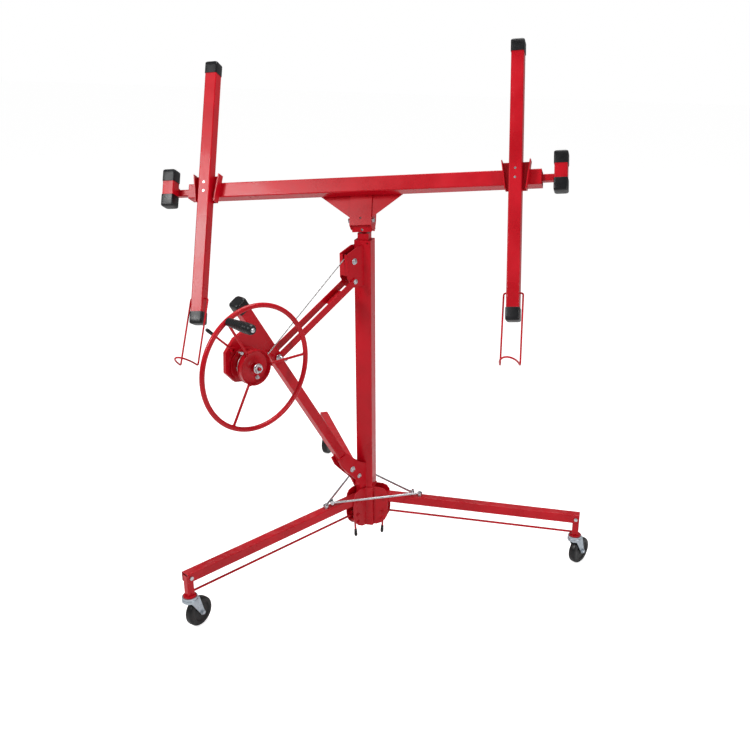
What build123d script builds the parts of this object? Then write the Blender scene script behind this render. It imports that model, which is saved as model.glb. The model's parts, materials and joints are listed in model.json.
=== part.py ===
from build123d import *
from math import asin, atan2, cos, degrees, radians, sin
import os

# Drywall lift: a telescoping mast on a three-legged rolling base, raised by a hand-wheel
# winch, with a tilting cradle on top. Millimetres, Z up, floor at Z = 0. The cradle beam
# runs along X and the front of the lift faces -Y.

# Mast
mast_x = -70  # the mast stands left of the middle, because the right leg reaches further
mast_side = 62
plan_middle = 30  # the middle of the whole plan lies this far behind the mast
mast_wall = 2.5
mast_foot = 92
mast_top = 1229
stage_gap = 2.5  # between one stage and the next, filled by the glide rings
mid_foot = 104
top_foot = 120
top_neck = 24  # how far the top stage stands out of the others when lowered
glide_height = 44
glide_play = 0.1

# Legs
leg_angles = {"left": -120, "right": 0, "rear": 120}
leg_side = 35
leg_wall = 2
leg_height = 205
hinge_reach = 68
leg_reach = 830
leg_root = 14  # length of the leg inwards of its hinge
link_drop = 62
link_radius = 4.2
link_pin = 2.9
post_side = 25
post_wall = 2
post_foot = 135
hinge_bolt = 10
bolt_play = 0.06
tie_reach = 200
tie_radius = 4
tie_lift = 11  # tie rod centre line over the leg

# Casters
caster_wheel = 104
caster_width = 30
caster_trail = 34
trail_angles = {"left": 71, "right": 59, "rear": 83}

# Hub
hub_radius = 45
plate = 4
clevis_reach = 92
clevis_gap = 0.4
hub_top = 250

# Winch, in the upright plane over the left leg
winch_angle = leg_angles["left"]
post_width = 35
post_sleeve = 41
winch_foot_at = (95, 352)
winch_top_at = (565, 1100)
wheel_at = (575, 905)
wheel_radius = 206
rim_radius = 9
wheel_across = 92
spoke_angles = (60, 180, 300)
spoke_radius = 5.5
drum_radius = 36.3
drum_flange = 59
drum_back = 36
drum_front = 74
cable_radius = 2.2
sheave_at = (70, 1161)
sheave_radius = 24
strut_thick = 4
strut_width = 25
strut_low = (428, 888)

# Cradle
tilt = 26.7
roll = 5.2
roll_pin_z = 1268
tilt_pin = (-4, -25, 1300)
beam_height = 54
beam_depth = 52
beam_wall = 3
beam_half = 644
beam_at = (0, -34, 114)
arm_side = 44
arm_wall = 2.5
arm_at = 561
arm_up = 467
arm_down = 495
cap_length = 40
cap_wall = 2
bracket_width = 80
outrigger_side = 24
outrigger_at = 711
pad_half = 65
hook_pivot = -405
hook_swing = 37 - tilt
hook_half = 32.5
hook_length = 250
hook_lip = 85
wire = 3.2

os.makedirs("parts", exist_ok=True)


def finish(part, label):
    """Set a finished piece about the middle of the plan, name it and write it."""
    placed = Pos(0, -plan_middle, 0) * part
    placed.label = label
    export_step(placed, f"parts/{label}.step")


def side(angle, across=0):
    """Upright plane through the mast axis: x runs outwards, y is height."""
    out = Vector(cos(radians(angle)), sin(radians(angle)), 0)
    return Plane(
        origin=Vector(mast_x, 0, 0) + Vector(-out.Y, out.X, 0) * across,
        x_dir=out,
        z_dir=(out.Y, -out.X, 0),
    )


def section(angle, reach, height):
    """Plane square to a leg, looking outwards."""
    frame = side(angle)
    return Plane(
        origin=frame.from_local_coords((reach, height, 0)),
        x_dir=-frame.z_dir,
        z_dir=frame.x_dir,
    )


def rod(start, end, radius):
    """Round bar from one point to another, with ball ends."""
    start, end = Vector(start), Vector(end)
    with BuildPart() as bar:
        with BuildSketch(Plane(origin=start, z_dir=end - start)):
            Circle(radius)
        extrude(amount=(end - start).length)
        with Locations(start, end):
            Sphere(radius)
    return bar.part


def bolt(plane, at, grip, size, head=None):
    """Hex bolt and nut through a grip centred on the plane."""
    head = head or 0.65 * size
    with BuildPart() as fastener:
        with BuildSketch(plane.offset(-grip / 2 - head)):
            with Locations(at):
                Circle(size / 2)
        extrude(amount=grip + 2 * head + 2)
        with BuildSketch(plane.offset(grip / 2), plane.offset(-grip / 2 - head)):
            with Locations(at):
                RegularPolygon(radius=0.92 * size, side_count=6)
        extrude(amount=head)
    return fastener.part


def square_tube(plane, width, wall, length):
    """Square tube from a plane along its normal."""
    with BuildPart() as tube:
        with BuildSketch(plane):
            RectangleRounded(width, width, 1.5 * wall)
            RectangleRounded(width - 2 * wall, width - 2 * wall, 0.5 * wall, mode=Mode.SUBTRACT)
        extrude(amount=length)
    return tube.part


def slotted_plate(plane, outline, thickness):
    """Flat plate of a closed outline, centred on the plane."""
    with BuildPart() as piece:
        with BuildSketch(plane):
            with BuildLine():
                Polyline(*outline, close=True)
            make_face()
        extrude(amount=thickness / 2, both=True)
    return piece.part


# ---- Mast ----

mast_plane = Plane(origin=(mast_x, 0, 0))
mid_side = mast_side - 2 * mast_wall - 2 * stage_gap
top_side = mid_side - 2 * mast_wall - 2 * stage_gap
winch_plane = side(winch_angle)
cable_level = sheave_at[1] + sheave_radius + cable_radius

with BuildPart() as outer_mast:
    add(square_tube(mast_plane.offset(mast_foot), mast_side, mast_wall, mast_top - mast_foot))
    with BuildSketch(Plane.XZ):
        with Locations((mast_x + 0.3 * mast_side, mast_top - 9)):
            Circle(3)
    extrude(amount=mast_side, mode=Mode.SUBTRACT)
    with BuildSketch(section(winch_angle, 0, cable_level)):
        Circle(cable_radius + 0.4)
    extrude(amount=mast_side, mode=Mode.SUBTRACT)
finish(outer_mast.part, "outer_mast")

with BuildPart() as mid_mast:
    add(square_tube(mast_plane.offset(mid_foot), mid_side, mast_wall, mast_top - mid_foot))
finish(mid_mast.part, "mid_mast")


def glide_ring(outside, inside, low):
    """Plastic ring that guides one stage inside the next."""
    with BuildPart() as ring:
        with BuildSketch(mast_plane.offset(low)):
            RectangleRounded(outside, outside, 0.5 * mast_wall)
            RectangleRounded(inside, inside, 1.5 * mast_wall, mode=Mode.SUBTRACT)
        extrude(amount=glide_height)
    return ring.part


ring_low = cable_level - 12 - glide_height
finish(
    glide_ring(mast_side - 2 * mast_wall, mid_side + 2 * glide_play, ring_low),
    "lower_glide",
)
finish(
    glide_ring(mid_side - 2 * mast_wall, top_side + 2 * glide_play, ring_low),
    "upper_glide",
)

tongue_thick = 16
neck_top = mast_top + top_neck
with BuildPart() as top_mast:
    add(square_tube(mast_plane.offset(top_foot), top_side, mast_wall, neck_top - 6 - top_foot))
    with BuildSketch(mast_plane.offset(neck_top - 6)):
        RectangleRounded(top_side, top_side, 3)
    extrude(amount=6)
    with BuildSketch(Plane.XZ):
        with Locations((mast_x, roll_pin_z)):
            Circle(9)
        with Locations((mast_x, (neck_top + roll_pin_z) / 2)):
            Rectangle(18, roll_pin_z - neck_top)
    extrude(amount=tongue_thick / 2, both=True)
    with BuildSketch(Plane.XZ):
        with Locations((mast_x, roll_pin_z)):
            Circle(hinge_bolt / 2)
    extrude(amount=mast_side, both=True, mode=Mode.SUBTRACT)
finish(top_mast.part, "top_mast")

# ---- Tilt head: a block that rolls on the mast and carries the tilt bolt ----

cradle_turn = Location((mast_x + tilt_pin[0], tilt_pin[1], tilt_pin[2]), (0, -roll, 0))
head_frame = Plane(cradle_turn)
cradle = Plane(cradle_turn * Location((0, 0, 0), (-tilt, 0, 0)))


def on_cradle(origin, x_dir=(1, 0, 0), z_dir=(0, 0, 1)):
    """Plane given in the cradle's own axes, whose origin is the tilt bolt."""
    base = cradle.origin
    return Plane(
        origin=cradle.from_local_coords(Vector(origin)),
        x_dir=cradle.from_local_coords(Vector(x_dir)) - base,
        z_dir=cradle.from_local_coords(Vector(z_dir)) - base,
    )


def in_cradle(point):
    return cradle.from_local_coords(Vector(point))


web_back = 8  # from the tilt bolt to the inner face of the bracket's web
web_thick = 5
flange_thick = 4
flange_depth = 62
head_width = bracket_width - 2 * flange_thick - 0.8
head_deep = 25 + 22
roll_drop = roll_pin_z - tilt_pin[2]
head_side = Plane(
    origin=head_frame.origin, x_dir=(0, 1, 0), z_dir=head_frame.from_local_coords((1, 0, 0)) - head_frame.origin
)
head_bolt = 10
with BuildPart() as tilt_yoke:
    with BuildSketch(head_side):
        with BuildLine():
            low = roll_drop - 8
            Polyline((0, 7.4), (head_deep, 7.4), (head_deep, low), (-7.4, low), (-7.4, 0))
            ThreePointArc((-7.4, 0), (-7.4 * 0.7071, 7.4 * 0.7071), (0, 7.4))
        make_face()
    extrude(amount=head_width / 2, both=True)
    with BuildSketch(head_side):
        Circle(head_bolt / 2 + bolt_play)
    extrude(amount=head_width, both=True, mode=Mode.SUBTRACT)
    with BuildSketch(Plane(origin=(mast_x, 0, roll_pin_z), z_dir=(0, 1, 0), x_dir=(1, 0, 0))):
        Circle(hinge_bolt / 2 + bolt_play)
    extrude(amount=mast_side, both=True, mode=Mode.SUBTRACT)
    with BuildSketch(Plane(origin=(mast_x, 0, roll_pin_z), z_dir=(0, 1, 0), x_dir=(1, 0, 0))):
        SlotCenterToCenter(34, 22, rotation=0)
        with Locations((0, 12)):
            Rectangle(56, 24)
    extrude(amount=tongue_thick / 2 + 0.3, both=True, mode=Mode.SUBTRACT)
finish(tilt_yoke.part, "tilt_yoke")

roll_plane = Plane(origin=(mast_x, 0, roll_pin_z), z_dir=(0, 1, 0), x_dir=(1, 0, 0))
yoke_box = tilt_yoke.part.bounding_box()
with BuildPart() as roll_pin:
    with BuildSketch(roll_plane):
        Circle(hinge_bolt / 2)
    extrude(amount=yoke_box.max.Y + 1)
    with BuildSketch(roll_plane):
        Circle(hinge_bolt / 2)
    extrude(amount=-(1 - yoke_box.min.Y) + 6)
    with BuildSketch(roll_plane.offset(yoke_box.max.Y + 0.6)):
        RegularPolygon(radius=9, side_count=6)
    extrude(amount=6)
finish(roll_pin.part, "roll_pin")

# ---- Hub: a collar round the mast foot with three clevises ----

plate_at = leg_side / 2 + clevis_gap + plate / 2
link_height = leg_height - link_drop
lever_hang = (hinge_reach - 2, link_height - 30)


def clevis_outline(reach):
    return [
        (20, hub_top),
        (reach - 18, hub_top - 6),
        (reach, leg_height + 24),
        (reach, link_height - 10),
        (reach - 22, mast_foot + 6),
        (20, mast_foot - 8),
    ]


with BuildPart() as hub:
    with BuildSketch(mast_plane.offset(mast_foot - 8)):
        Circle(hub_radius)
    extrude(amount=hub_top - mast_foot + 8)
    for angle in leg_angles.values():
        for across in (-plate_at, plate_at):
            add(slotted_plate(side(angle, across), clevis_outline(clevis_reach), plate))
    with BuildSketch(mast_plane.offset(mast_foot)):
        Rectangle(mast_side, mast_side)
    extrude(amount=hub_top, mode=Mode.SUBTRACT)
    for angle in leg_angles.values():
        with BuildSketch(side(angle)):
            with Locations((hinge_reach, leg_height)):
                Circle(hinge_bolt / 2)
            with Locations((hinge_reach, link_height)):
                Circle(4)
            with Locations(lever_hang):
                Circle(3)
        extrude(amount=plate_at + plate, both=True, mode=Mode.SUBTRACT)
finish(hub.part, "hub")

# ---- Legs ----

clevis_grip = 2 * plate_at + plate
slot_start = leg_reach - post_side / 2 - 1.5
leg_end = leg_reach + post_side / 2
leg_top = leg_height + leg_side / 2
tie_plane_z = leg_top + tie_lift


def eye_point(angle, across=0):
    return side(angle, across).from_local_coords((tie_reach, tie_plane_z, 0))


def make_leg(name, angle, next_angle, trail):
    """One leg with its outer post, link rod, tie rod, studs, caster and lock lever."""
    frame = side(angle)

    with BuildPart() as leg_tube:
        start = hinge_reach - leg_root
        add(square_tube(section(angle, start, leg_height), leg_side, leg_wall, leg_end - start))
        with BuildSketch(frame):
            with Locations((hinge_reach, leg_height)):
                Circle(hinge_bolt / 2 + bolt_play)
            with Locations((leg_reach, leg_height)):
                Circle(4)
        extrude(amount=leg_side, both=True, mode=Mode.SUBTRACT)
        with BuildSketch(section(angle, slot_start, leg_height - leg_side / 2)):
            Rectangle(post_side + 1, 3 * leg_wall)
        extrude(amount=leg_side * 2, mode=Mode.SUBTRACT)
    finish(leg_tube.part, f"leg_tube_{name}")

    # The stud that the previous tie rod drops over, and the ears that hold this leg's rod
    here = eye_point(angle)
    there = eye_point(next_angle)
    along = (there - here).normalized()
    rod_axis = Vector(0, 0, 1).cross(along)
    stud_at = eye_point(angle) + frame.x_dir * 16
    hinge_at = eye_point(angle) - frame.x_dir * 16
    with BuildPart() as studs:
        with BuildSketch(Plane(origin=(stud_at.X, stud_at.Y, leg_top))):
            Circle(4)
        extrude(amount=tie_lift + 9)
        with BuildSketch(Plane(origin=(stud_at.X, stud_at.Y, leg_top))):
            Circle(8)
        extrude(amount=tie_lift - tie_radius - 1.4)
        for offset in (-7, 7):
            ear = hinge_at + rod_axis * offset
            with BuildSketch(Plane(origin=ear, x_dir=along, z_dir=rod_axis)):
                Circle(6)
                with Locations((0, -tie_lift / 2)):
                    Rectangle(12, tie_lift)
            extrude(amount=1.5, both=True)
        with BuildSketch(Plane(origin=hinge_at, x_dir=along, z_dir=rod_axis)):
            Circle(2.5)
        extrude(amount=10, both=True)
        add(bolt(frame, (leg_reach, leg_height), leg_side, 8))
    finish(studs.part, f"leg_pins_{name}")

    far_stud = eye_point(next_angle) + side(next_angle).x_dir * 16
    run = far_stud - hinge_at
    run_axis = Vector(0, 0, 1).cross(run.normalized())
    with BuildPart() as tie_rod:
        with BuildSketch(Plane(origin=hinge_at + run.normalized() * 5, z_dir=run)):
            Circle(tie_radius)
        extrude(amount=run.length - 11)
        with BuildSketch(Plane(origin=hinge_at, x_dir=along, z_dir=rod_axis)):
            Circle(6)
        extrude(amount=4.5, both=True)
        with BuildSketch(Plane(origin=hinge_at, x_dir=along, z_dir=rod_axis)):
            Circle(2.5 + bolt_play)
        extrude(amount=10, both=True, mode=Mode.SUBTRACT)
        with BuildSketch(Plane(origin=far_stud)):
            Circle(10.5)
        extrude(amount=3, both=True)
        with BuildSketch(Plane(origin=far_stud)):
            Circle(6.5)
        extrude(amount=10, both=True, mode=Mode.SUBTRACT)
    finish(tie_rod.part, f"tie_rod_{name}")

    with BuildPart() as leg_post:
        post_top = leg_height + 8
        centre = frame.from_local_coords((leg_reach, post_foot, 0))
        base = Plane(origin=centre, x_dir=frame.x_dir)
        add(square_tube(base, post_side, post_wall, post_top - post_foot))
        with BuildSketch(base):
            Rectangle(post_side - post_wall, post_side - post_wall)
        extrude(amount=2)
        with BuildSketch(frame):
            with Locations((leg_reach, leg_height)):
                Circle(4 + bolt_play)
        extrude(amount=post_side, both=True, mode=Mode.SUBTRACT)
        with BuildSketch(section(angle, leg_reach - post_side, link_height)):
            with Locations((0, 14)):
                Rectangle(2 * link_radius + 2, 44)
        extrude(amount=post_side - 2, mode=Mode.SUBTRACT)
        with BuildSketch(frame):
            with Locations((leg_reach, link_height)):
                Circle(link_pin)
        extrude(amount=post_side / 2 + 2, both=True)
        with BuildSketch(base.offset(-12)):
            Circle(5)
        extrude(amount=12)
        with BuildSketch(base.offset(-5)):
            Circle(22)
        extrude(amount=4.4)
    finish(leg_post.part, f"leg_post_{name}")

    with BuildPart() as link_rod:
        with BuildSketch(section(angle, hinge_reach + 6, link_height)):
            Circle(link_radius)
        extrude(amount=leg_reach - hinge_reach - 10)
        with BuildSketch(frame):
            with Locations((hinge_reach, link_height)):
                Circle(8)
        extrude(amount=leg_side / 2, both=True)
        with BuildSketch(frame):
            with Locations((leg_reach, link_height)):
                Circle(5.6)
        extrude(amount=link_radius, both=True)
        with BuildSketch(frame):
            with Locations((hinge_reach, link_height)):
                Circle(4 + bolt_play)
            with Locations((leg_reach, link_height)):
                Circle(link_pin + 0.1)
        extrude(amount=leg_side, both=True, mode=Mode.SUBTRACT)
    finish(link_rod.part, f"link_rod_{name}")

    # Caster: the fork swivels on the stem under the post, the wheel trails behind it
    trail_dir = Vector(cos(radians(trail)), sin(radians(trail)), 0)
    axle_dir = Vector(-trail_dir.Y, trail_dir.X, 0)
    fork_plane = Plane(origin=(centre.X, centre.Y, 0), x_dir=trail_dir, z_dir=(trail_dir.Y, -trail_dir.X, 0))
    axle_at = (caster_trail, caster_wheel / 2)
    crown_top = post_foot - 5.4
    crown_low = crown_top - 13
    arm_gap = caster_width / 2 + 1.6
    with BuildPart() as caster_fork:
        with BuildSketch(Plane(origin=(centre.X, centre.Y, crown_low))):
            Circle(26)
        extrude(amount=crown_top - crown_low)
        with BuildSketch(Plane(origin=(centre.X, centre.Y, crown_low))):
            Circle(5 + bolt_play)
        extrude(amount=30, mode=Mode.SUBTRACT)
        for across in (-arm_gap - 1.5, arm_gap + 1.5):
            with BuildSketch(fork_plane.offset(across)):
                with BuildLine():
                    Polyline(
                        (-20, crown_low + 4),
                        (24, crown_low + 4),
                        (axle_at[0] + 9, axle_at[1]),
                        (axle_at[0] + 6, axle_at[1] - 8),
                        (axle_at[0] - 6, axle_at[1] - 8),
                        (axle_at[0] - 10, axle_at[1]),
                        close=True,
                    )
                make_face()
            extrude(amount=1.5, both=True)
        with BuildSketch(fork_plane):
            with Locations(axle_at):
                Circle(4)
        extrude(amount=arm_gap + 9, both=True)
        with BuildSketch(fork_plane):
            with Locations(axle_at):
                Circle(7)
        extrude(amount=arm_gap + 6.5, both=True)
        with BuildSketch(fork_plane):
            with Locations(axle_at):
                Circle(caster_wheel / 2 + 3)
                Circle(4, mode=Mode.SUBTRACT)
        extrude(amount=arm_gap, both=True, mode=Mode.SUBTRACT)
    finish(caster_fork.part, f"caster_fork_{name}")

    with BuildPart() as caster:
        spin = Plane(origin=fork_plane.from_local_coords((*axle_at, 0)), z_dir=axle_dir)
        with BuildSketch(spin.offset(-caster_width / 2)):
            Circle(caster_wheel / 2)
        extrude(amount=caster_width)
        rims = caster.edges().filter_by(GeomType.CIRCLE)
        fillet(rims, 7)
        with BuildSketch(spin):
            Circle(4 + bolt_play)
        extrude(amount=caster_width, both=True, mode=Mode.SUBTRACT)
    finish(caster.part, f"caster_wheel_{name}")

    # Lock lever hanging in the clevis
    lever_at = lever_hang
    with BuildPart() as lock_lever:
        with BuildSketch(frame):
            with Locations(lever_at):
                Circle(7)
        extrude(amount=8, both=True)
        add(
            rod(
                frame.from_local_coords((lever_at[0], lever_at[1] - 4, 0)),
                frame.from_local_coords((lever_at[0] - 4, 52, 0)),
                4,
            )
        )
        add(
            rod(
                frame.from_local_coords((lever_at[0] - 3.6, 62, 0)),
                frame.from_local_coords((lever_at[0] - 4.4, 44, 0)),
                6,
            )
        )
        with BuildSketch(frame):
            with Locations(lever_at):
                Circle(3 + bolt_play)
        extrude(amount=20, both=True, mode=Mode.SUBTRACT)
    finish(lock_lever.part, f"lock_lever_{name}")


leg_names = list(leg_angles)
for index, name in enumerate(leg_names):
    following = leg_names[(index + 1) % len(leg_names)]
    make_leg(name, leg_angles[name], leg_angles[following], trail_angles[name])

# ---- Winch post and its brackets ----

axle_radius = 5
foot_bolt_at = (60, 312)


def drill(holes):
    """Cross holes square to the winch's plane, cut from the open part."""
    for at, radius in holes:
        hole = Plane(origin=winch_plane.from_local_coords((*at, 0)), z_dir=winch_plane.z_dir)
        with Locations(hole):
            Cylinder(radius, 4 * post_sleeve, mode=Mode.SUBTRACT)


post_run = Vector(winch_top_at[0] - winch_foot_at[0], winch_top_at[1] - winch_foot_at[1], 0)
foot_world = winch_plane.from_local_coords((*winch_foot_at, 0))
top_world = winch_plane.from_local_coords((*winch_top_at, 0))
post_axis = (top_world - foot_world).normalized()
tangent = -winch_plane.z_dir

with BuildPart() as winch_post:
    start = Plane(origin=foot_world - post_axis * 22, x_dir=tangent, z_dir=post_axis)
    add(square_tube(start, post_width, 2.5, post_run.length + 22))
    upper = Plane(origin=foot_world + post_axis * 600, x_dir=tangent, z_dir=post_axis)
    add(square_tube(upper, post_sleeve, 3, post_run.length - 600 - 6))
    drill(((winch_foot_at, 5), (strut_low, 5)))
finish(winch_post.part, "winch_post")

with BuildPart() as post_cap:
    crown = Plane(origin=top_world, x_dir=tangent, z_dir=post_axis)
    with BuildSketch(crown):
        RectangleRounded(post_sleeve + 5, post_sleeve + 5, 9)
    extrude(amount=9)
    fillet(post_cap.faces().sort_by(SortBy.DISTANCE)[-1].edges(), 1)
    with BuildSketch(crown.offset(-24)):
        RectangleRounded(post_width - 5, post_width - 5, 1.25)
    extrude(amount=24)
finish(post_cap.part, "post_cap")

foot_across = post_width / 2 + plate / 2
foot_outline = [
    (20, 256),
    (52, 256),
    (60, 285),
    (110, 335),
    (150, 378),
    (166, 412),
    (122, 428),
    (62, 374),
    (20, 352),
]
with BuildPart() as winch_foot:
    for across in (-foot_across, foot_across):
        add(slotted_plate(side(winch_angle, across), foot_outline, plate))
    with BuildSketch(section(winch_angle, 40, 0)):
        with Locations((0, 304)):
            Rectangle(2 * foot_across, 96)
    extrude(amount=8)
    with BuildSketch(mast_plane):
        Rectangle(mast_side, mast_side)
    extrude(amount=mast_top, mode=Mode.SUBTRACT)
    drill(((winch_foot_at, 5), (foot_bolt_at, 4)))
finish(winch_foot.part, "winch_foot")

# Struts: two flat bars clasping the post and the upper bracket, with a web between them
strut_top = (70, 1088)
strut_run = Vector(strut_top[0] - strut_low[0], strut_top[1] - strut_low[1], 0)
strut_mid = (Vector(*strut_low) + Vector(*strut_top)) / 2
strut_lean = degrees(atan2(strut_run.Y, strut_run.X))
strut_across = (post_sleeve + strut_thick) / 2
bracket_across = (post_sleeve - plate) / 2
with BuildPart() as winch_struts:
    for across in (-strut_across, strut_across):
        with BuildSketch(side(winch_angle, across)):
            with Locations(Location((strut_mid.X, strut_mid.Y, 0), (0, 0, strut_lean))):
                SlotCenterToCenter(strut_run.length, strut_width)
        extrude(amount=strut_thick / 2, both=True)
    web_from = winch_plane.from_local_coords((*strut_top, 0))
    strut_axis = (winch_plane.from_local_coords((*strut_low, 0)) - web_from).normalized()
    web_plane = Plane(
        origin=web_from + strut_axis * 52, x_dir=tangent, z_dir=strut_axis
    )
    with BuildSketch(web_plane):
        with Locations((0, -strut_width / 2 + 2)):
            Rectangle(2 * strut_across, 4)
    extrude(amount=70)
    drill(((strut_low, 5), (strut_top, 4)))
finish(winch_struts.part, "winch_struts")

upper_outline = [
    (20, 1066),
    (80, 1066),
    (104, 1104),
    (104, 1190),
    (50, 1212),
    (20, 1212),
]
with BuildPart() as upper_bracket:
    for across in (-bracket_across, bracket_across):
        add(slotted_plate(side(winch_angle, across), upper_outline, plate))
    with BuildSketch(section(winch_angle, 100, 1150)):
        Rectangle(2 * bracket_across, 76)
    extrude(amount=4)
    with BuildSketch(section(winch_angle, 90, 1175)):
        SlotCenterToCenter(20, 9, rotation=90)
    extrude(amount=20, mode=Mode.SUBTRACT)
    with BuildSketch(mast_plane.offset(1000)):
        Rectangle(mast_side, mast_side)
    extrude(amount=300, mode=Mode.SUBTRACT)
    drill(((strut_top, 4), (sheave_at, axle_radius)))
finish(upper_bracket.part, "upper_bracket")

with BuildPart() as cable_sheave:
    with BuildSketch(winch_plane):
        with Locations(sheave_at):
            Circle(sheave_radius + 4)
    extrude(amount=5, both=True)
    groove = Plane(origin=winch_plane.from_local_coords((*sheave_at, 0)), z_dir=winch_plane.z_dir)
    with BuildSketch(groove):
        Circle(sheave_radius + 6)
        Circle(sheave_radius - 0.4, mode=Mode.SUBTRACT)
    extrude(amount=cable_radius + 0.9, both=True, mode=Mode.SUBTRACT)
    with BuildSketch(groove):
        Circle(axle_radius + bolt_play)
    extrude(amount=10, both=True, mode=Mode.SUBTRACT)
finish(cable_sheave.part, "cable_sheave")

# ---- Winch ----

housing_back = post_sleeve / 2
housing_front = 34
housing_outline = [
    (470, 930),
    (520, 862),
    (560, 842),
    (618, 852),
    (652, 890),
    (648, 958),
    (612, 998),
    (540, 1030),
    (505, 1004),
]
with BuildPart() as winch_housing:
    depth = housing_front - housing_back
    middle = (housing_front + housing_back) / 2
    add(slotted_plate(side(winch_angle, middle), housing_outline, depth))
    with BuildSketch(side(winch_angle, housing_back)):
        with Locations(wheel_at):
            Circle(axle_radius)
    extrude(amount=-(wheel_across + 22 - housing_back))
    fillet(winch_housing.edges().filter_by(Axis((0, 0, 0), winch_plane.z_dir)), 6)
finish(winch_housing.part, "winch_housing")

with BuildPart() as cable_drum:
    spans = ((drum_back, 3, drum_flange), (drum_front - 3, 3, drum_flange), (drum_back, 38, drum_radius))
    for start_across, thick, radius in spans:
        with BuildSketch(side(winch_angle, start_across)):
            with Locations(wheel_at):
                Circle(radius)
        extrude(amount=-thick)
    with BuildSketch(side(winch_angle, drum_front)):
        with Locations(wheel_at):
            Circle(13)
    extrude(amount=-(wheel_across - 8 - drum_front))
    with BuildSketch(side(winch_angle, drum_back)):
        with Locations(wheel_at):
            Circle(axle_radius + bolt_play)
    extrude(amount=-100, mode=Mode.SUBTRACT)
finish(cable_drum.part, "cable_drum")

wheel_plane = side(winch_angle, wheel_across)
wheel_centre = wheel_plane.from_local_coords((*wheel_at, 0))
wheel_frame = Plane(origin=wheel_centre, x_dir=wheel_plane.x_dir, z_dir=wheel_plane.z_dir)


def on_wheel(angle, radius, out=0):
    """Point of the hand wheel's plane, at an angle and radius from its axle."""
    return wheel_frame.from_local_coords(
        (radius * cos(radians(angle)), radius * sin(radians(angle)), out)
    )


with BuildPart() as hand_wheel:
    rim_start = Plane(
        origin=on_wheel(0, wheel_radius), x_dir=wheel_frame.x_dir, z_dir=wheel_plane.y_dir
    )
    with BuildSketch(rim_start):
        Circle(rim_radius)
    revolve(axis=Axis(wheel_centre, wheel_frame.z_dir))
    with BuildSketch(wheel_frame.offset(-8)):
        Circle(16)
    extrude(amount=16)
    for angle in spoke_angles:
        add(rod(on_wheel(angle, 12), on_wheel(angle, wheel_radius), spoke_radius))
    with BuildSketch(wheel_frame.offset(-9)):
        Circle(axle_radius + bolt_play)
    extrude(amount=18, mode=Mode.SUBTRACT)
finish(hand_wheel.part, "hand_wheel")

with BuildPart() as hub_nut:
    with BuildSketch(wheel_frame.offset(-8)):
        Circle(15)
    extrude(amount=-2)
    with BuildSketch(wheel_frame.offset(-10)):
        RegularPolygon(radius=15, side_count=6)
    extrude(amount=-9)
    with BuildSketch(wheel_frame):
        Circle(axle_radius + bolt_play)
    extrude(amount=-60, mode=Mode.SUBTRACT)
finish(hub_nut.part, "hub_nut")

grip_angle = spoke_angles[0]
grip_length = 118
grip_start = rim_radius + 3
grip_frame = Plane(
    origin=on_wheel(grip_angle, wheel_radius), x_dir=wheel_frame.x_dir, z_dir=-wheel_frame.z_dir
)
with BuildPart() as wheel_grip:
    with BuildSketch(grip_frame.offset(grip_start)):
        Circle(14)
    with BuildSketch(grip_frame.offset(grip_start + 0.7 * grip_length)):
        Circle(18)
    with BuildSketch(grip_frame.offset(grip_start + grip_length)):
        Circle(15)
    loft()
    with BuildSketch(grip_frame):
        Circle(4 + bolt_play)
    extrude(amount=200, mode=Mode.SUBTRACT)
finish(wheel_grip.part, "wheel_grip")

with BuildPart() as grip_screw:
    with BuildSketch(grip_frame.offset(rim_radius)):
        Circle(4)
    extrude(amount=grip_length + 4)
    with BuildSketch(grip_frame.offset(grip_start + grip_length + 0.5)):
        Circle(8)
    extrude(amount=4)
finish(grip_screw.part, "grip_screw")

lever_pivot = (622, 964)
lever_tip = (712, 1050)
lever_across = housing_front + 5
lever_frame = side(winch_angle, lever_across)
lever_dir = Vector(lever_tip[0] - lever_pivot[0], lever_tip[1] - lever_pivot[1], 0).normalized()
with BuildPart() as brake_lever:
    with BuildSketch(lever_frame):
        with Locations(lever_pivot):
            Circle(10)
    extrude(amount=4.4, both=True)
    tip_start = Vector(*lever_tip) - lever_dir * 26
    add(
        rod(
            lever_frame.from_local_coords((*lever_pivot, 0)),
            lever_frame.from_local_coords((tip_start.X, tip_start.Y, 0)),
            4,
        )
    )
    add(
        rod(
            lever_frame.from_local_coords((tip_start.X, tip_start.Y, 0)),
            lever_frame.from_local_coords((*lever_tip, 0)),
            6,
        )
    )
    with BuildSketch(lever_frame):
        with Locations(lever_pivot):
            Circle(3 + bolt_play)
    extrude(amount=20, both=True, mode=Mode.SUBTRACT)
finish(brake_lever.part, "brake_lever")

# ---- Lift cable: from the drum over the sheave and into the mast ----

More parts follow.
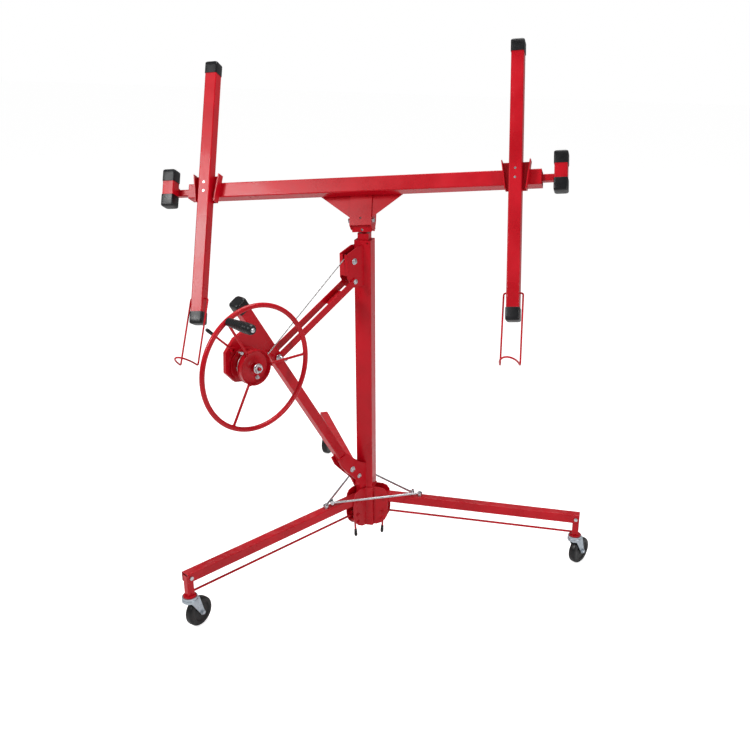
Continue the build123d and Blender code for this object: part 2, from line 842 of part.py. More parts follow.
wind_radius = drum_radius + cable_radius + 0.3
turn_radius = sheave_radius + cable_radius
span = Vector(*sheave_at) - Vector(*wheel_at)
cable_lean = atan2(span.Y, span.X) - asin((wind_radius + turn_radius) / span.length)
cable_out = Vector(sin(cable_lean), -cos(cable_lean), 0)
drum_leave = Vector(*wheel_at) - cable_out * wind_radius
sheave_meet = Vector(*sheave_at) + cable_out * turn_radius
cable_start = side(winch_angle, drum_back + 3 + cable_radius + 4.5).from_local_coords((drum_leave.X, drum_leave.Y, 0))
cable_meet = winch_plane.from_local_coords((sheave_meet.X, sheave_meet.Y, 0))
cable_top = (sheave_at[0], cable_level)
with BuildPart() as lift_cable:
    with BuildSketch(Plane(origin=cable_start, z_dir=cable_meet - cable_start)):
        Circle(cable_radius)
    extrude(amount=(cable_meet - cable_start).length)
    with Locations(cable_meet):
        Sphere(cable_radius)
    with BuildSketch(section(winch_angle, *cable_top)):
        Circle(cable_radius)
    revolve(
        axis=Axis(winch_plane.from_local_coords((*sheave_at, 0)), winch_plane.z_dir),
        revolution_arc=-(90 - degrees(atan2(cable_out.Y, cable_out.X))),
    )
    with BuildSketch(section(winch_angle, *cable_top)):
        Circle(cable_radius)
    extrude(amount=-(cable_top[0] - 34))
finish(lift_cable.part, "lift_cable")

# ---- Bolts of the base, the mast and the winch ----

with BuildPart() as frame_bolts:
    for angle in leg_angles.values():
        add(bolt(side(angle), (hinge_reach, leg_height), clevis_grip, hinge_bolt))
        add(bolt(side(angle), (hinge_reach, link_height), clevis_grip, 8))
        add(bolt(side(angle), lever_hang, clevis_grip, 6))
    foot_grip = 2 * foot_across + plate
    add(bolt(winch_plane, winch_foot_at, foot_grip, 10))
    add(bolt(winch_plane, foot_bolt_at, foot_grip, 8))
    strut_grip = 2 * strut_across + strut_thick
    add(bolt(winch_plane, strut_low, strut_grip, 10))
    add(bolt(winch_plane, strut_top, strut_grip, 8))
    add(bolt(winch_plane, sheave_at, 2 * bracket_across + plate, 2 * axle_radius))
    with BuildSketch(side(winch_angle, housing_front)):
        with Locations(lever_pivot):
            Circle(3)
    extrude(amount=-12)
    with BuildSketch(side(winch_angle, lever_across + 4.8)):
        with Locations(lever_pivot):
            RegularPolygon(radius=6, side_count=6)
    extrude(amount=-4)
finish(frame_bolts.part, "frame_bolts")

# ---- Cradle ----

beam_x, beam_y, beam_z = beam_at
arm_bolt_spread = 16


def drill_arm_bolts(centre):
    """Two cross holes through a crossarm, its bracket and the beam's front wall."""
    for height in (-arm_bolt_spread, arm_bolt_spread):
        with Locations(on_cradle((centre, beam_y - beam_depth / 2, beam_z + height), (1, 0, 0), (0, 1, 0))):
            Cylinder(4, 2 * (arm_side + 4), mode=Mode.SUBTRACT)


with BuildPart() as cradle_beam:
    with BuildSketch(on_cradle((-beam_half, beam_y, beam_z), (0, 1, 0), (1, 0, 0))):
        RectangleRounded(beam_depth, beam_height, 4)
        RectangleRounded(beam_depth - 2 * beam_wall, beam_height - 2 * beam_wall, 1.5, mode=Mode.SUBTRACT)
    extrude(amount=2 * beam_half)
    for centre in (-arm_at, arm_at):
        drill_arm_bolts(centre)
finish(cradle_beam.part, "cradle_beam")

beam_low = beam_z - beam_height / 2
beam_back = beam_y + beam_depth / 2
web_front = -web_back - web_thick
with BuildPart() as tilt_bracket:
    web_low = -20
    with BuildSketch(on_cradle((0, web_front, 0), (1, 0, 0), (0, -1, 0))):
        with Locations((0, (beam_low + web_low) / 2)):
            Rectangle(bracket_width, beam_low - web_low)
        with Locations((0, 6)):
            Circle(4.5, mode=Mode.SUBTRACT)
    extrude(amount=-web_thick)
    for across in (-bracket_width / 2, bracket_width / 2 - flange_thick):
        with BuildSketch(on_cradle((across, 0, 0), (0, 1, 0), (1, 0, 0))):
            with BuildLine():
                Polyline(
                    (web_front, web_low),
                    (web_front, beam_low),
                    (web_front + flange_depth, beam_low),
                    (web_front + flange_depth, 8),
                    (web_front + 50, -30),
                    (web_front + 18, -30),
                    close=True,
                )
            make_face()
            Circle(head_bolt / 2, mode=Mode.SUBTRACT)
        extrude(amount=flange_thick)
    for turn in (-1, 1):
        with BuildSketch(on_cradle((0, beam_back, 0), (1, 0, 0), (0, -1, 0))):
            with BuildLine():
                Polyline(
                    (turn * (bracket_width / 2 - 1), beam_low),
                    (turn * 150, beam_low),
                    (turn * 150, beam_low + 22),
                    (turn * (bracket_width / 2 - 1), beam_low + 22),
                    close=True,
                )
            make_face()
            with BuildLine():
                Polyline(
                    (turn * (bracket_width / 2 - 1), beam_low + 1),
                    (turn * 150, beam_low + 1),
                    (turn * (bracket_width / 2 - 1), 8),
                    close=True,
                )
            make_face()
        extrude(amount=-4)
finish(tilt_bracket.part, "tilt_bracket")

arm_y = beam_y - beam_depth / 2 - 3 - arm_side / 2
arm_low = beam_z - arm_down
arm_high = beam_z + arm_up
bracket_tall = 100


def arm_bracket(centre):
    """Flared channel that saddles a crossarm on the front of the beam."""
    half = arm_side / 2
    with BuildPart() as saddle:
        with BuildSketch(on_cradle((centre, beam_y - beam_depth / 2, beam_z), (1, 0, 0), (0, -1, 0))):
            with BuildLine():
                Polyline(
                    (-50, bracket_tall / 2),
                    (50, bracket_tall / 2),
                    (37, -bracket_tall / 2),
                    (-37, -bracket_tall / 2),
                    close=True,
                )
            make_face()
        extrude(amount=3)
        for turn in (-1, 1):
            with BuildSketch(on_cradle((centre, beam_y - beam_depth / 2, beam_z), (1, 0, 0), (0, -1, 0))):
                with BuildLine():
                    Polyline(
                        (turn * 50, bracket_tall / 2),
                        (turn * 46.5, bracket_tall / 2),
                        (turn * 33.5, -bracket_tall / 2),
                        (turn * 37, -bracket_tall / 2),
                        close=True,
                    )
                make_face()
            extrude(amount=3 + 0.7 * arm_side)
    return saddle.part


with BuildPart() as arm_brackets:
    for centre in (-arm_at, arm_at):
        add(arm_bracket(centre))
        drill_arm_bolts(centre)
finish(arm_brackets.part, "arm_brackets")

for name, centre in (("left", -arm_at), ("right", arm_at)):
    with BuildPart() as crossarm:
        start = on_cradle((centre, arm_y, arm_low))
        add(square_tube(start, arm_side, arm_wall, arm_up + arm_down))
        with BuildSketch(on_cradle((centre, arm_y, beam_z + hook_pivot), (0, 1, 0), (1, 0, 0))):
            Circle(wire + bolt_play)
        extrude(amount=arm_side, both=True, mode=Mode.SUBTRACT)
        drill_arm_bolts(centre)
    finish(crossarm.part, f"crossarm_{name}")


def end_cap(x, y, z, width, up):
    """Plastic cap pulled over a tube end; up is 1 or -1."""
    with BuildPart() as cap:
        with BuildSketch(on_cradle((x, y, z + up * 4), (1, 0, 0), (0, 0, 1))):
            RectangleRounded(width + 2 * cap_wall, width + 2 * cap_wall, 5)
        extrude(amount=-up * cap_length)
        with BuildSketch(on_cradle((x, y, z), (1, 0, 0), (0, 0, 1))):
            RectangleRounded(width, width, 3.75)
        extrude(amount=-up * cap_length, mode=Mode.SUBTRACT)
    return cap.part


with BuildPart() as arm_caps:
    for centre in (-arm_at, arm_at):
        add(end_cap(centre, arm_y, arm_high, arm_side, 1))
        add(end_cap(centre, arm_y, arm_low, arm_side, -1))
finish(arm_caps.part, "arm_caps")

pad_y = beam_y - 34
pad_z = beam_z + 8
slide_y = beam_y
slide_length = 300
guide = beam_depth - 2 * beam_wall
for name, turn in (("left", -1), ("right", 1)):
    with BuildPart() as outrigger:
        inner = outrigger_at - slide_length
        start = on_cradle((turn * inner, slide_y, beam_z), (0, 1, 0), (turn, 0, 0))
        add(square_tube(start, outrigger_side, 2, slide_length + outrigger_side / 2))
        with BuildSketch(start):
            RectangleRounded(guide - 0.6, beam_height - 2 * beam_wall - 0.6, 2)
            Rectangle(outrigger_side, outrigger_side, mode=Mode.SUBTRACT)
        extrude(amount=20)
        arm = on_cradle((turn * outrigger_at, slide_y + outrigger_side / 2, pad_z), (1, 0, 0), (0, -1, 0))
        with BuildSketch(arm):
            Rectangle(outrigger_side, outrigger_side + 6)
        extrude(amount=slide_y - pad_y - arm_side / 2 + outrigger_side / 2 + 1)
        add(square_tube(on_cradle((turn * outrigger_at, pad_y, pad_z - pad_half)), arm_side, arm_wall, 2 * pad_half))
    finish(outrigger.part, f"outrigger_{name}")
    with BuildPart() as pad_caps:
        add(end_cap(turn * outrigger_at, pad_y, pad_z + pad_half, arm_side, 1))
        add(end_cap(turn * outrigger_at, pad_y, pad_z - pad_half, arm_side, -1))
    finish(pad_caps.part, f"pad_caps_{name}")


def hook_point(centre, across, down, out):
    """Point of a support hook: down its rods, and out along its lip."""
    swing = radians(hook_swing)
    y = arm_y - down * sin(swing) - out * cos(swing)
    z = beam_z + hook_pivot - down * cos(swing) + out * sin(swing)
    return in_cradle((centre + across, y, z))


for name, centre in (("left", -arm_at), ("right", arm_at)):
    with BuildPart() as hook:
        bends = [
            (arm_side / 2 - 6, 0, 0),
            (hook_half, 0, 0),
            (hook_half, hook_length, 0),
        ]
        lip_points = [
            (hook_half * cos(radians(turn)), hook_length, hook_lip * sin(radians(turn)))
            for turn in range(0, 181, 20)
        ]
        route = bends + lip_points[1:-1] + [(-x, d, o) for x, d, o in reversed(bends)]
        points = [hook_point(centre, *stop) for stop in route]
        for start, end in zip(points, points[1:]):
            add(rod(start, end, wire))
    finish(hook.part, f"hook_{name}")

with BuildPart() as cradle_bolts:
    add(bolt(on_cradle((0, 0, 0), (0, 1, 0), (1, 0, 0)), (0, 0), bracket_width, head_bolt, head=7))
    for centre in (-arm_at, arm_at):
        plane = on_cradle((centre, arm_y, beam_z), (1, 0, 0), (0, 1, 0))
        with BuildSketch(plane.offset(-arm_side / 2 - 0.2)):
            for height in (-arm_bolt_spread, arm_bolt_spread):
                with Locations((0, height)):
                    Circle(4)
        extrude(amount=arm_side + 3 + beam_wall + 6)
finish(cradle_bolts.part, "cradle_bolts")

print("cable run:", round((cable_meet - cable_start).length, 1), "mm, arc radius", sheave_radius + cable_radius)
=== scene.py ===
import json
from math import atan2, asin, cos, pi, radians, sin
import bpy
import numpy as np
from mathutils import Matrix, Vector


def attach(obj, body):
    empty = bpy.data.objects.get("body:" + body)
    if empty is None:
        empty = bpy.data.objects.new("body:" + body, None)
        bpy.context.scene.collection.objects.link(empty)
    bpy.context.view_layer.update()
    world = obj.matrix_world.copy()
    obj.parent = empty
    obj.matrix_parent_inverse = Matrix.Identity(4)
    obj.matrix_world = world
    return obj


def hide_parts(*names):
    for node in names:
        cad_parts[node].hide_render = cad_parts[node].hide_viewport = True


# Drywall lift: gloss red steel, black plastic caps, zinc casters and a steel lift cable.
# Metres throughout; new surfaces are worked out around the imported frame.

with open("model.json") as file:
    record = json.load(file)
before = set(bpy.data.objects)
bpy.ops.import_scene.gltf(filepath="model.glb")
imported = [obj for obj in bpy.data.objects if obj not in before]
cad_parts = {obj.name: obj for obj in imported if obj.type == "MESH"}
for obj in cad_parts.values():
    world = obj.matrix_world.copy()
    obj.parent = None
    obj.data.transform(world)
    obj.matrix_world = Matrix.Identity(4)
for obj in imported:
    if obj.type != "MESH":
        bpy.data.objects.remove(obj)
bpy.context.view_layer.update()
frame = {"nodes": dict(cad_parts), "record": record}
record = frame["record"]
joints = {row["name"]: row for row in record["behaviour"]["joints"]}
print("frame loaded:", len(frame["nodes"]), "nodes")


def unit(vector):
    vector = np.asarray(vector, float)
    return vector / np.linalg.norm(vector, axis=-1, keepdims=True)


def jointAt(name):
    return np.array(joints[name]["pos_m"], float)


def jointAxis(name):
    return unit(joints[name]["axis"])


def nodePoints(name):
    mesh = frame["nodes"][name].data
    flat = np.empty(3 * len(mesh.vertices), np.float32)
    mesh.vertices.foreach_get("co", flat)
    return flat.reshape(-1, 3).astype(float)


def localBox(name, origin, axes):
    # a node's lowest and highest corners along three given directions
    spots = (nodePoints(name) - origin) @ np.array(axes).T
    return spots.min(0), spots.max(0)


def addNode(tree, kind, inputs=None, **settings):
    made = tree.nodes.new("ShaderNode" + kind)
    for key, value in settings.items():
        setattr(made, key, value)
    for key, value in (inputs or {}).items():
        if isinstance(value, bpy.types.NodeSocket):
            tree.links.new(value, made.inputs[key])
        else:
            made.inputs[key].default_value = value
    return made


def mathNode(tree, operation, first, second=0.0, clamp=False):
    return addNode(tree, "Math", {0: first, 1: second}, operation=operation, use_clamp=clamp).outputs[0]


def rangeNode(tree, value, low, high, newLow=0.0, newHigh=1.0):
    slots = {"Value": value, "From Min": low, "From Max": high, "To Min": newLow, "To Max": newHigh}
    return addNode(tree, "MapRange", slots).outputs[0]


def mixColour(tree, factor, first, second):
    return addNode(tree, "Mix", {0: factor, 6: first, 7: second}, data_type="RGBA").outputs[2]


def newGroup(name, inputs, outputs):
    tree = bpy.data.node_groups.new(name, "ShaderNodeTree")
    for label, kind, value in inputs:
        made = tree.interface.new_socket(label, in_out="INPUT", socket_type="NodeSocket" + kind)
        if value is not None:
            made.default_value = value
    for label in outputs:
        tree.interface.new_socket(label, in_out="OUTPUT", socket_type="NodeSocketFloat")
    return tree, tree.nodes.new("NodeGroupInput").outputs, tree.nodes.new("NodeGroupOutput").inputs


def buildEdgeWear():
    # how far the rounded normal leaves the real one, broken up by noise
    tree, given, out = newGroup(
        "edgeWear",
        [("Place", "Vector", None), ("Reach", "Float", 0.0012), ("Breakup", "Float", 120.0),
         ("Amount", "Float", 0.5)],
        ["Mask"],
    )
    real = addNode(tree, "NewGeometry").outputs["Normal"]
    rounded = addNode(tree, "Bevel", {"Radius": given["Reach"]}, samples=6).outputs[0]
    agree = addNode(tree, "VectorMath", {0: real, 1: rounded}, operation="DOT_PRODUCT").outputs["Value"]
    edge = rangeNode(tree, mathNode(tree, "SUBTRACT", 1.0, agree), 0.015, 0.14)
    patch = addNode(tree, "TexNoise", {"Vector": given["Place"], "Scale": given["Breakup"],
                                       "Detail": 5.0})
    holes = rangeNode(tree, patch.outputs["Fac"], 0.5, 0.68)
    mask = mathNode(tree, "MULTIPLY", mathNode(tree, "MULTIPLY", edge, holes), given["Amount"],
                    clamp=True)
    tree.links.new(mask, out["Mask"])
    return tree


def buildGrain():
    # broad patches for colour and gloss, and a fine ripple for the bump
    tree, given, out = newGroup(
        "surfaceGrain",
        [("Place", "Vector", None), ("Broad", "Float", 9.0), ("Fine", "Float", 700.0),
         ("Ripple", "Float", 160.0)],
        ["Patch", "Height"],
    )
    broad = addNode(tree, "TexNoise", {"Vector": given["Place"], "Scale": given["Broad"], "Detail": 4.0})
    fine = addNode(tree, "TexNoise", {"Vector": given["Place"], "Scale": given["Fine"], "Detail": 2.0})
    ripple = addNode(tree, "TexNoise", {"Vector": given["Place"], "Scale": given["Ripple"],
                                        "Detail": 1.0})
    height = mathNode(tree, "ADD", mathNode(tree, "MULTIPLY", fine.outputs["Fac"], 0.35),
                      ripple.outputs["Fac"])
    tree.links.new(rangeNode(tree, broad.outputs["Fac"], 0.35, 0.65), out["Patch"])
    tree.links.new(height, out["Height"])
    return tree


def buildDust():
    # settles on what faces up, thin and blotchy
    tree, given, out = newGroup(
        "settledDust",
        [("Place", "Vector", None), ("Amount", "Float", 0.3)],
        ["Mask"],
    )
    normal = addNode(tree, "NewGeometry").outputs["Normal"]
    upward = addNode(tree, "SeparateXYZ", {0: normal}).outputs["Z"]
    noise = addNode(tree, "TexNoise", {"Vector": given["Place"], "Scale": 40.0,
                                       "Detail": 6.0}).outputs["Fac"]
    mask = mathNode(tree, "MULTIPLY", rangeNode(tree, upward, 0.4, 1.0),
                    rangeNode(tree, noise, 0.42, 0.75))
    tree.links.new(mathNode(tree, "MULTIPLY", mask, given["Amount"], clamp=True), out["Mask"])
    return tree


def buildScratches():
    # long thin marks: a noise stretched along one direction, kept only at its crest
    tree, given, out = newGroup(
        "fineScratches",
        [("Place", "Vector", None), ("Stretch", "Vector", (40.0, 900.0, 900.0)),
         ("Amount", "Float", 0.3)],
        ["Mask"],
    )
    pulled = addNode(tree, "VectorMath", {0: given["Place"], 1: given["Stretch"]},
                     operation="MULTIPLY").outputs[0]
    noise = addNode(tree, "TexNoise", {"Vector": pulled, "Scale": 1.0, "Detail": 3.0}).outputs["Fac"]
    mask = mathNode(tree, "MULTIPLY", rangeNode(tree, noise, 0.6, 0.72), given["Amount"], clamp=True)
    tree.links.new(mask, out["Mask"])
    return tree


edgeWear, surfaceGrain = buildEdgeWear(), buildGrain()
settledDust, fineScratches = buildDust(), buildScratches()

finishes = {
    "red_paint": dict(
        colour=(0.56, 0.002, 0.012), shade=(0.45, 0.001, 0.008), worn=(0.16, 0.002, 0.005), dust=0.06,
        gloss=(0.24, 0.36), metal=0.0, coat=0.12, shine=0.22, wear=0.35, reach=0.0010,
        broad=7.0, fine=900.0, ripple=260.0, bump=0.10, depth=0.0004, scratch=0.10,
    ),
    "zinc_fastener": dict(
        colour=(0.66, 0.67, 0.69), shade=(0.50, 0.52, 0.55), worn=(0.30, 0.30, 0.31), dust=0.10,
        gloss=(0.24, 0.36), metal=1.0, coat=0.0, wear=0.3, reach=0.0006,
        broad=90.0, fine=2500.0, ripple=700.0, bump=0.06, depth=0.0003, scratch=0.15,
    ),
    "zinc_plate": dict(
        colour=(0.50, 0.56, 0.61), shade=(0.34, 0.39, 0.44), worn=(0.62, 0.64, 0.66), dust=0.14,
        gloss=(0.30, 0.50), metal=1.0, coat=0.0, wear=0.6, reach=0.0008,
        broad=60.0, fine=1800.0, ripple=500.0, bump=0.18, depth=0.0003, scratch=0.4,
    ),
    "black_tyre": dict(
        colour=(0.0055, 0.0058, 0.0065), shade=(0.003, 0.003, 0.0035), worn=(0.025, 0.025, 0.025),
        dust=0.025,
        gloss=(0.28, 0.44), metal=0.0, coat=0.0, wear=0.3, reach=0.0012,
        broad=40.0, fine=2200.0, ripple=600.0, bump=0.2, depth=0.0004, scratch=0.2, shine=0.4,
    ),
    "black_plastic": dict(
        colour=(0.005, 0.0055, 0.007), shade=(0.003, 0.0034, 0.0045), worn=(0.03, 0.03, 0.033),
        dust=0.025,
        gloss=(0.26, 0.40), metal=0.0, coat=0.0, wear=0.35, reach=0.0012,
        broad=25.0, fine=1500.0, ripple=900.0, bump=0.3, depth=0.0005, scratch=0.12, shine=0.4,
    ),
    "glide_plastic": dict(
        colour=(0.78, 0.78, 0.74), shade=(0.66, 0.65, 0.60), worn=(0.85, 0.85, 0.82), dust=0.1,
        gloss=(0.40, 0.55), metal=0.0, coat=0.0, wear=0.2, reach=0.0008,
        broad=40.0, fine=1500.0, ripple=500.0, bump=0.15, depth=0.0003, scratch=0.1,
    ),
    "steel_cable": dict(
        colour=(0.58, 0.58, 0.57), shade=(0.36, 0.36, 0.36), worn=(0.2, 0.2, 0.2), dust=0.05,
        gloss=(0.28, 0.46), metal=1.0, coat=0.0, wear=0.3, reach=0.0004,
        broad=300.0, fine=3500.0, ripple=1500.0, bump=0.2, depth=0.0002, scratch=0.3,
    ),
}


def opaque(rgb):
    return (*rgb, 1.0)


dustColour = (0.62, 0.60, 0.58, 1.0)
spangleColour = (0.62, 0.68, 0.74, 1.0)


def makeFinish(name, look):
    material = bpy.data.materials.new(name)
    material.use_nodes = True
    tree = material.node_tree
    tree.nodes.clear()
    place = addNode(tree, "TexCoord").outputs["Object"]

    def placed(group, **values):
        made = tree.nodes.new("ShaderNodeGroup")
        made.node_tree = group
        tree.links.new(place, made.inputs["Place"])
        for key, value in values.items():
            made.inputs[key].default_value = value
        return made.outputs

    grain = placed(surfaceGrain, Broad=look["broad"], Fine=look["fine"], Ripple=look["ripple"])
    wear = placed(edgeWear, Reach=look["reach"], Amount=look["wear"])["Mask"]
    dust = placed(settledDust, Amount=look["dust"])["Mask"]
    scratch = placed(fineScratches, Amount=look["scratch"])["Mask"]
    base = mixColour(tree, grain["Patch"], opaque(look["shade"]), opaque(look["colour"]))
    if name == "zinc_plate":  # the spangle that zinc leaves: flat crystals of slightly different grey
        cells = addNode(tree, "TexVoronoi", {"Vector": place, "Scale": 170.0}, feature="F1")
        tone = addNode(tree, "SeparateColor", {0: cells.outputs["Color"]}).outputs[0]
        base = mixColour(tree, rangeNode(tree, tone, 0.0, 1.0, 0.0, 0.4), base, spangleColour)
    base = mixColour(tree, wear, base, opaque(look["worn"]))
    base = mixColour(tree, dust, base, dustColour)
    rough = rangeNode(tree, grain["Patch"], 0.0, 1.0, *look["gloss"])
    rough = mathNode(tree, "ADD", rough, mathNode(tree, "MULTIPLY", scratch, 0.35))
    rough = mathNode(tree, "ADD", rough, mathNode(tree, "MULTIPLY", dust, 0.9), clamp=True)
    height = mathNode(tree, "SUBTRACT", grain["Height"], mathNode(tree, "MULTIPLY", scratch, 0.4))
    bump = addNode(tree, "Bump", {"Height": height, "Strength": look["bump"], "Distance": look["depth"]})
    shader = addNode(tree, "BsdfPrincipled", {
        "Base Color": base, "Roughness": rough, "Normal": bump.outputs[0], "Metallic": look["metal"],
        "Coat Weight": look["coat"], "Coat Roughness": 0.08, "Specular IOR Level": look.get("shine", 0.5),
    })
    if name == "glide_plastic":
        shader.inputs["Subsurface Weight"].default_value = 0.15
        shader.inputs["Subsurface Radius"].default_value = (0.004, 0.003, 0.002)
    tree.links.new(shader.outputs[0], addNode(tree, "OutputMaterial").inputs["Surface"])
    return material


materials = {name: makeFinish(name, look) for name, look in finishes.items()}
for row in record["subparts"]:
    for holder in frame["nodes"][row["node"]].material_slots:
        holder.material = materials[row["material_slot"]]
print("finishes:", len(materials))


def gridShell(points, loopRows=False):
    # quads between neighbouring rows and columns of a grid; the columns always join up,
    # and the first and last rows are closed with a flat face unless the rows join up too
    rows, columns = points.shape[:2]
    here = np.arange(rows if loopRows else rows - 1)[:, None] * columns
    above = (here + columns) % (rows * columns)
    turn = np.arange(columns)
    nextTurn = (turn + 1) % columns
    quads = np.stack([here + turn, here + nextTurn, above + nextTurn, above + turn], -1).reshape(-1, 4)
    faces = quads.tolist()
    if not loopRows:
        faces += [turn[::-1].tolist(), ((rows - 1) * columns + turn).tolist()]
    flat = points.reshape(-1, 3)
    corner = flat[quads]
    volume = np.einsum("ij,ij->i", corner[:, 0], np.cross(corner[:, 1], corner[:, 2])).sum()
    volume += np.einsum("ij,ij->i", corner[:, 0], np.cross(corner[:, 2], corner[:, 3])).sum()
    if not loopRows:
        for face in faces[-2:]:
            spots = flat[face]
            volume += (np.cross(spots[1:-1], spots[2:]) @ spots[0]).sum()
    if volume < 0:
        faces = [face[::-1] for face in faces]
    return flat, faces


def makePiece(name, shells, slotName, body, replaced=(), sharp=38):
    # one mesh out of several closed shells, which rides on a body and stands for CAD nodes
    points, faces, count = [], [], 0
    for flat, own in shells:
        points.append(flat)
        faces += [[corner + count for corner in face] for face in own]
        count += len(flat)
    mesh = bpy.data.meshes.new(name)
    mesh.from_pydata(np.concatenate(points).tolist(), [], faces)
    mesh.polygons.foreach_set("use_smooth", np.ones(len(mesh.polygons), bool))
    mesh.set_sharp_from_angle(angle=radians(sharp))
    mesh.materials.append(materials[slotName])
    mesh.update()
    piece = bpy.data.objects.new(name, mesh)
    bpy.context.scene.collection.objects.link(piece)
    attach(piece, body)
    if replaced:
        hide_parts(*replaced)
    return piece


def circle(radius, count=24):
    turn = np.linspace(0, 2 * pi, count, endpoint=False)
    return np.stack([radius * np.cos(turn), radius * np.sin(turn)], -1)


def roundSquare(width, corner, count=6):
    # four quarter circles, each about the middle of its own corner
    quarter = np.repeat(np.arange(4), count)
    turn = pi / 2 * (quarter + np.tile(np.linspace(0, 1, count), 4))
    middle = pi / 2 * (quarter + 0.5)
    inset = width / 2 - corner
    return np.stack([inset * np.sign(np.cos(middle)) + corner * np.cos(turn),
                     inset * np.sign(np.sin(middle)) + corner * np.sin(turn)], -1)


def hexagon(size, limit, count=48):
    # distance to the side of a hexagon at each angle, held inside a round limit
    turn = np.linspace(0, 2 * pi, count, endpoint=False)
    reach = np.minimum(size / np.cos(turn % (pi / 3) - pi / 6), limit)
    return np.stack([reach * np.cos(turn), reach * np.sin(turn)], -1)


def squareTo(direction, hint=(0.13, 0.21, 0.97)):
    # two directions square to the given one
    along = unit(direction)
    across = unit(np.cross(along, hint))
    return across, np.cross(along, across), along


def lathe(profile, origin, axis, count=64, loopRows=False):
    # each profile point is (distance along the axis, radius), turned once round the axis
    across, upright, along = squareTo(axis)
    profile = np.asarray(profile, float)
    turn = np.linspace(0, 2 * pi, count, endpoint=False)[None, :, None]
    ring = np.cos(turn) * across + np.sin(turn) * upright
    return gridShell(origin + profile[:, 0, None, None] * along + profile[:, 1, None, None] * ring,
                     loopRows)


def stack(rows, origin, across, upright, along, loopRows=False):
    # outlines set one above another: each row is (height, outline points)
    grid = [origin + height * along + outline[:, :1] * across + outline[:, 1:] * upright for height,
            outline in rows]
    return gridShell(np.stack(grid), loopRows)


def sweep(path, outline, hint, loopRows=False):
    # the outline is carried along the path, square to it, with one side kept towards the hint
    path = np.asarray(path, float)
    step = np.roll(path, -1, 0) - np.roll(path, 1, 0) if loopRows else np.gradient(path, axis=0)
    tangent = unit(step)
    across = unit(np.cross(tangent, hint))
    upright = np.cross(tangent, across)
    outline = np.broadcast_to(outline, (len(path), *np.shape(outline)[-2:]))
    grid = path[:, None] + outline[..., :1] * across[:, None] + outline[..., 1:] * upright[:, None]
    return gridShell(grid, loopRows)


def softPath(corners, bend, count=7):
    # straight runs whose corners are replaced by short curves that start one bend away
    corners = np.asarray(corners, float)
    before, middle, after = corners[:-2], corners[1:-1], corners[2:]
    start = middle + bend * unit(before - middle)
    end = middle + bend * unit(after - middle)
    t = np.linspace(0, 1, count)[None, :, None]
    arcs = (1 - t) ** 2 * start[:, None] + 2 * t * (1 - t) * middle[:, None] + t**2 * end[:, None]
    return np.concatenate([corners[:1], arcs.reshape(-1, 3), corners[-1:]])


def domeRows(radius, height, count=6):
    # quarter ellipse, from the rim to just short of the pole
    turn = np.linspace(0, 1.5, count)
    return np.stack([height * np.sin(turn), radius * np.cos(turn)], -1)


washerThickness = 0.0014
pinhole = 0.0002  # the radius at which the end of a turned solid is closed


def rod(origin, axis, start, end, radius):
    # a plain round bar between two distances along its axis
    return lathe([(start, pinhole), (start, radius), (end, radius), (end, pinhole)], origin, axis, 24)


def boltHead(origin, axis, size, height, washer=True, stub=0.0):
    # a chamfered hexagon on a round washer; with a stub, the thread's domed end stands out of it
    across, upright, along = squareTo(axis)
    flat = 0.866 * size
    rows = [(0.0, hexagon(flat, 0.97 * size)), (0.08 * height, hexagon(flat, size)),
            (0.72 * height, hexagon(flat, size)), (0.92 * height, hexagon(flat, 0.93 * size)),
            (height, hexagon(0.93 * flat, 0.86 * size))]
    thick = washerThickness if washer else 0.0
    shells = [stack(rows, origin + thick * along, across, upright, along)]
    if washer:
        low, wide = 1.2 * size, 1.26 * size
        ring = [(0, pinhole), (0, low), (0.0003, wide), (0.0011, wide), (thick, low), (thick, pinhole)]
        shells.append(lathe(ring, origin, axis, 40))
    if stub:
        thread = np.linspace(0, stub, 25)
        depth = 0.5 * size - 0.0003 * np.abs(np.sin(pi * thread / 0.0012))
        depth[-2:] -= (0.0004, 0.0012)
        shells.append(lathe(np.stack([thread + thick + height - 0.0002, depth], -1), origin, axis, 24))
    return shells


def throughBolt(middle, axis, grip, size, stub=0.003):
    # a head on one side, a nut with the bolt's end on the other
    height = 0.5 * size
    return (boltHead(middle + 0.5 * grip * axis, axis, size, height)
            + boltHead(middle - 0.5 * grip * axis, -axis, size, height, stub=stub))


# Directions that the pieces share.
cradleBolt = jointAt("tilt_cradle")
cradleX = jointAxis("extend_right")
cradleLean = radians(26.7)  # the cradle's lean at rest, about its own long axis
backward = np.array([0.0, 1.0, 0.0])
cradleZ = cos(cradleLean) * np.cross(cradleX, backward) + sin(cradleLean) * backward
cradleY = np.cross(cradleZ, cradleX)
cradleAxes = np.array([cradleX, cradleY, cradleZ])

straightUp = np.array([0.0, 0.0, 1.0])
levelOnly = np.array([1.0, 1.0, 0.0])
mastFoot = jointAt("roll_head") * levelOnly
wheelOut = -jointAxis("turn_wheel")  # along the winch axle, towards the user
axleFoot = jointAt("turn_wheel")
winchSide = np.cross(wheelOut, straightUp)  # level, turned to point away from the mast
if winchSide @ (axleFoot - mastFoot) < 0:
    winchSide = -winchSide
legNames = ("left", "right", "rear")


def onWinch(reach, height, across=0.0):
    # a place in the upright plane of the winch: out from the mast, up, and towards the user
    return mastFoot + reach * winchSide + height * straightUp + across * wheelOut


handWheel = dict(radius=0.206, tube=0.0084, across=0.092, spoke=0.0044, cup=0.059, floor=0.0755,
                 lip=0.0935,
                 boss=0.0135, bossEnd=0.0998, bore=0.0052, spokeAngles=(60, 180, 300), weld=0.001984,
                 screwAngle=252, screwRadius=0.040, screwSize=0.0058, screwHeight=0.0045, screwStub=0.004)


def wheelPoint(angle, radius, out=0.0):
    turn = radians(angle)
    return (axleFoot + (handWheel["across"] + out) * wheelOut
            + radius * (cos(turn) * winchSide + sin(turn) * straightUp))


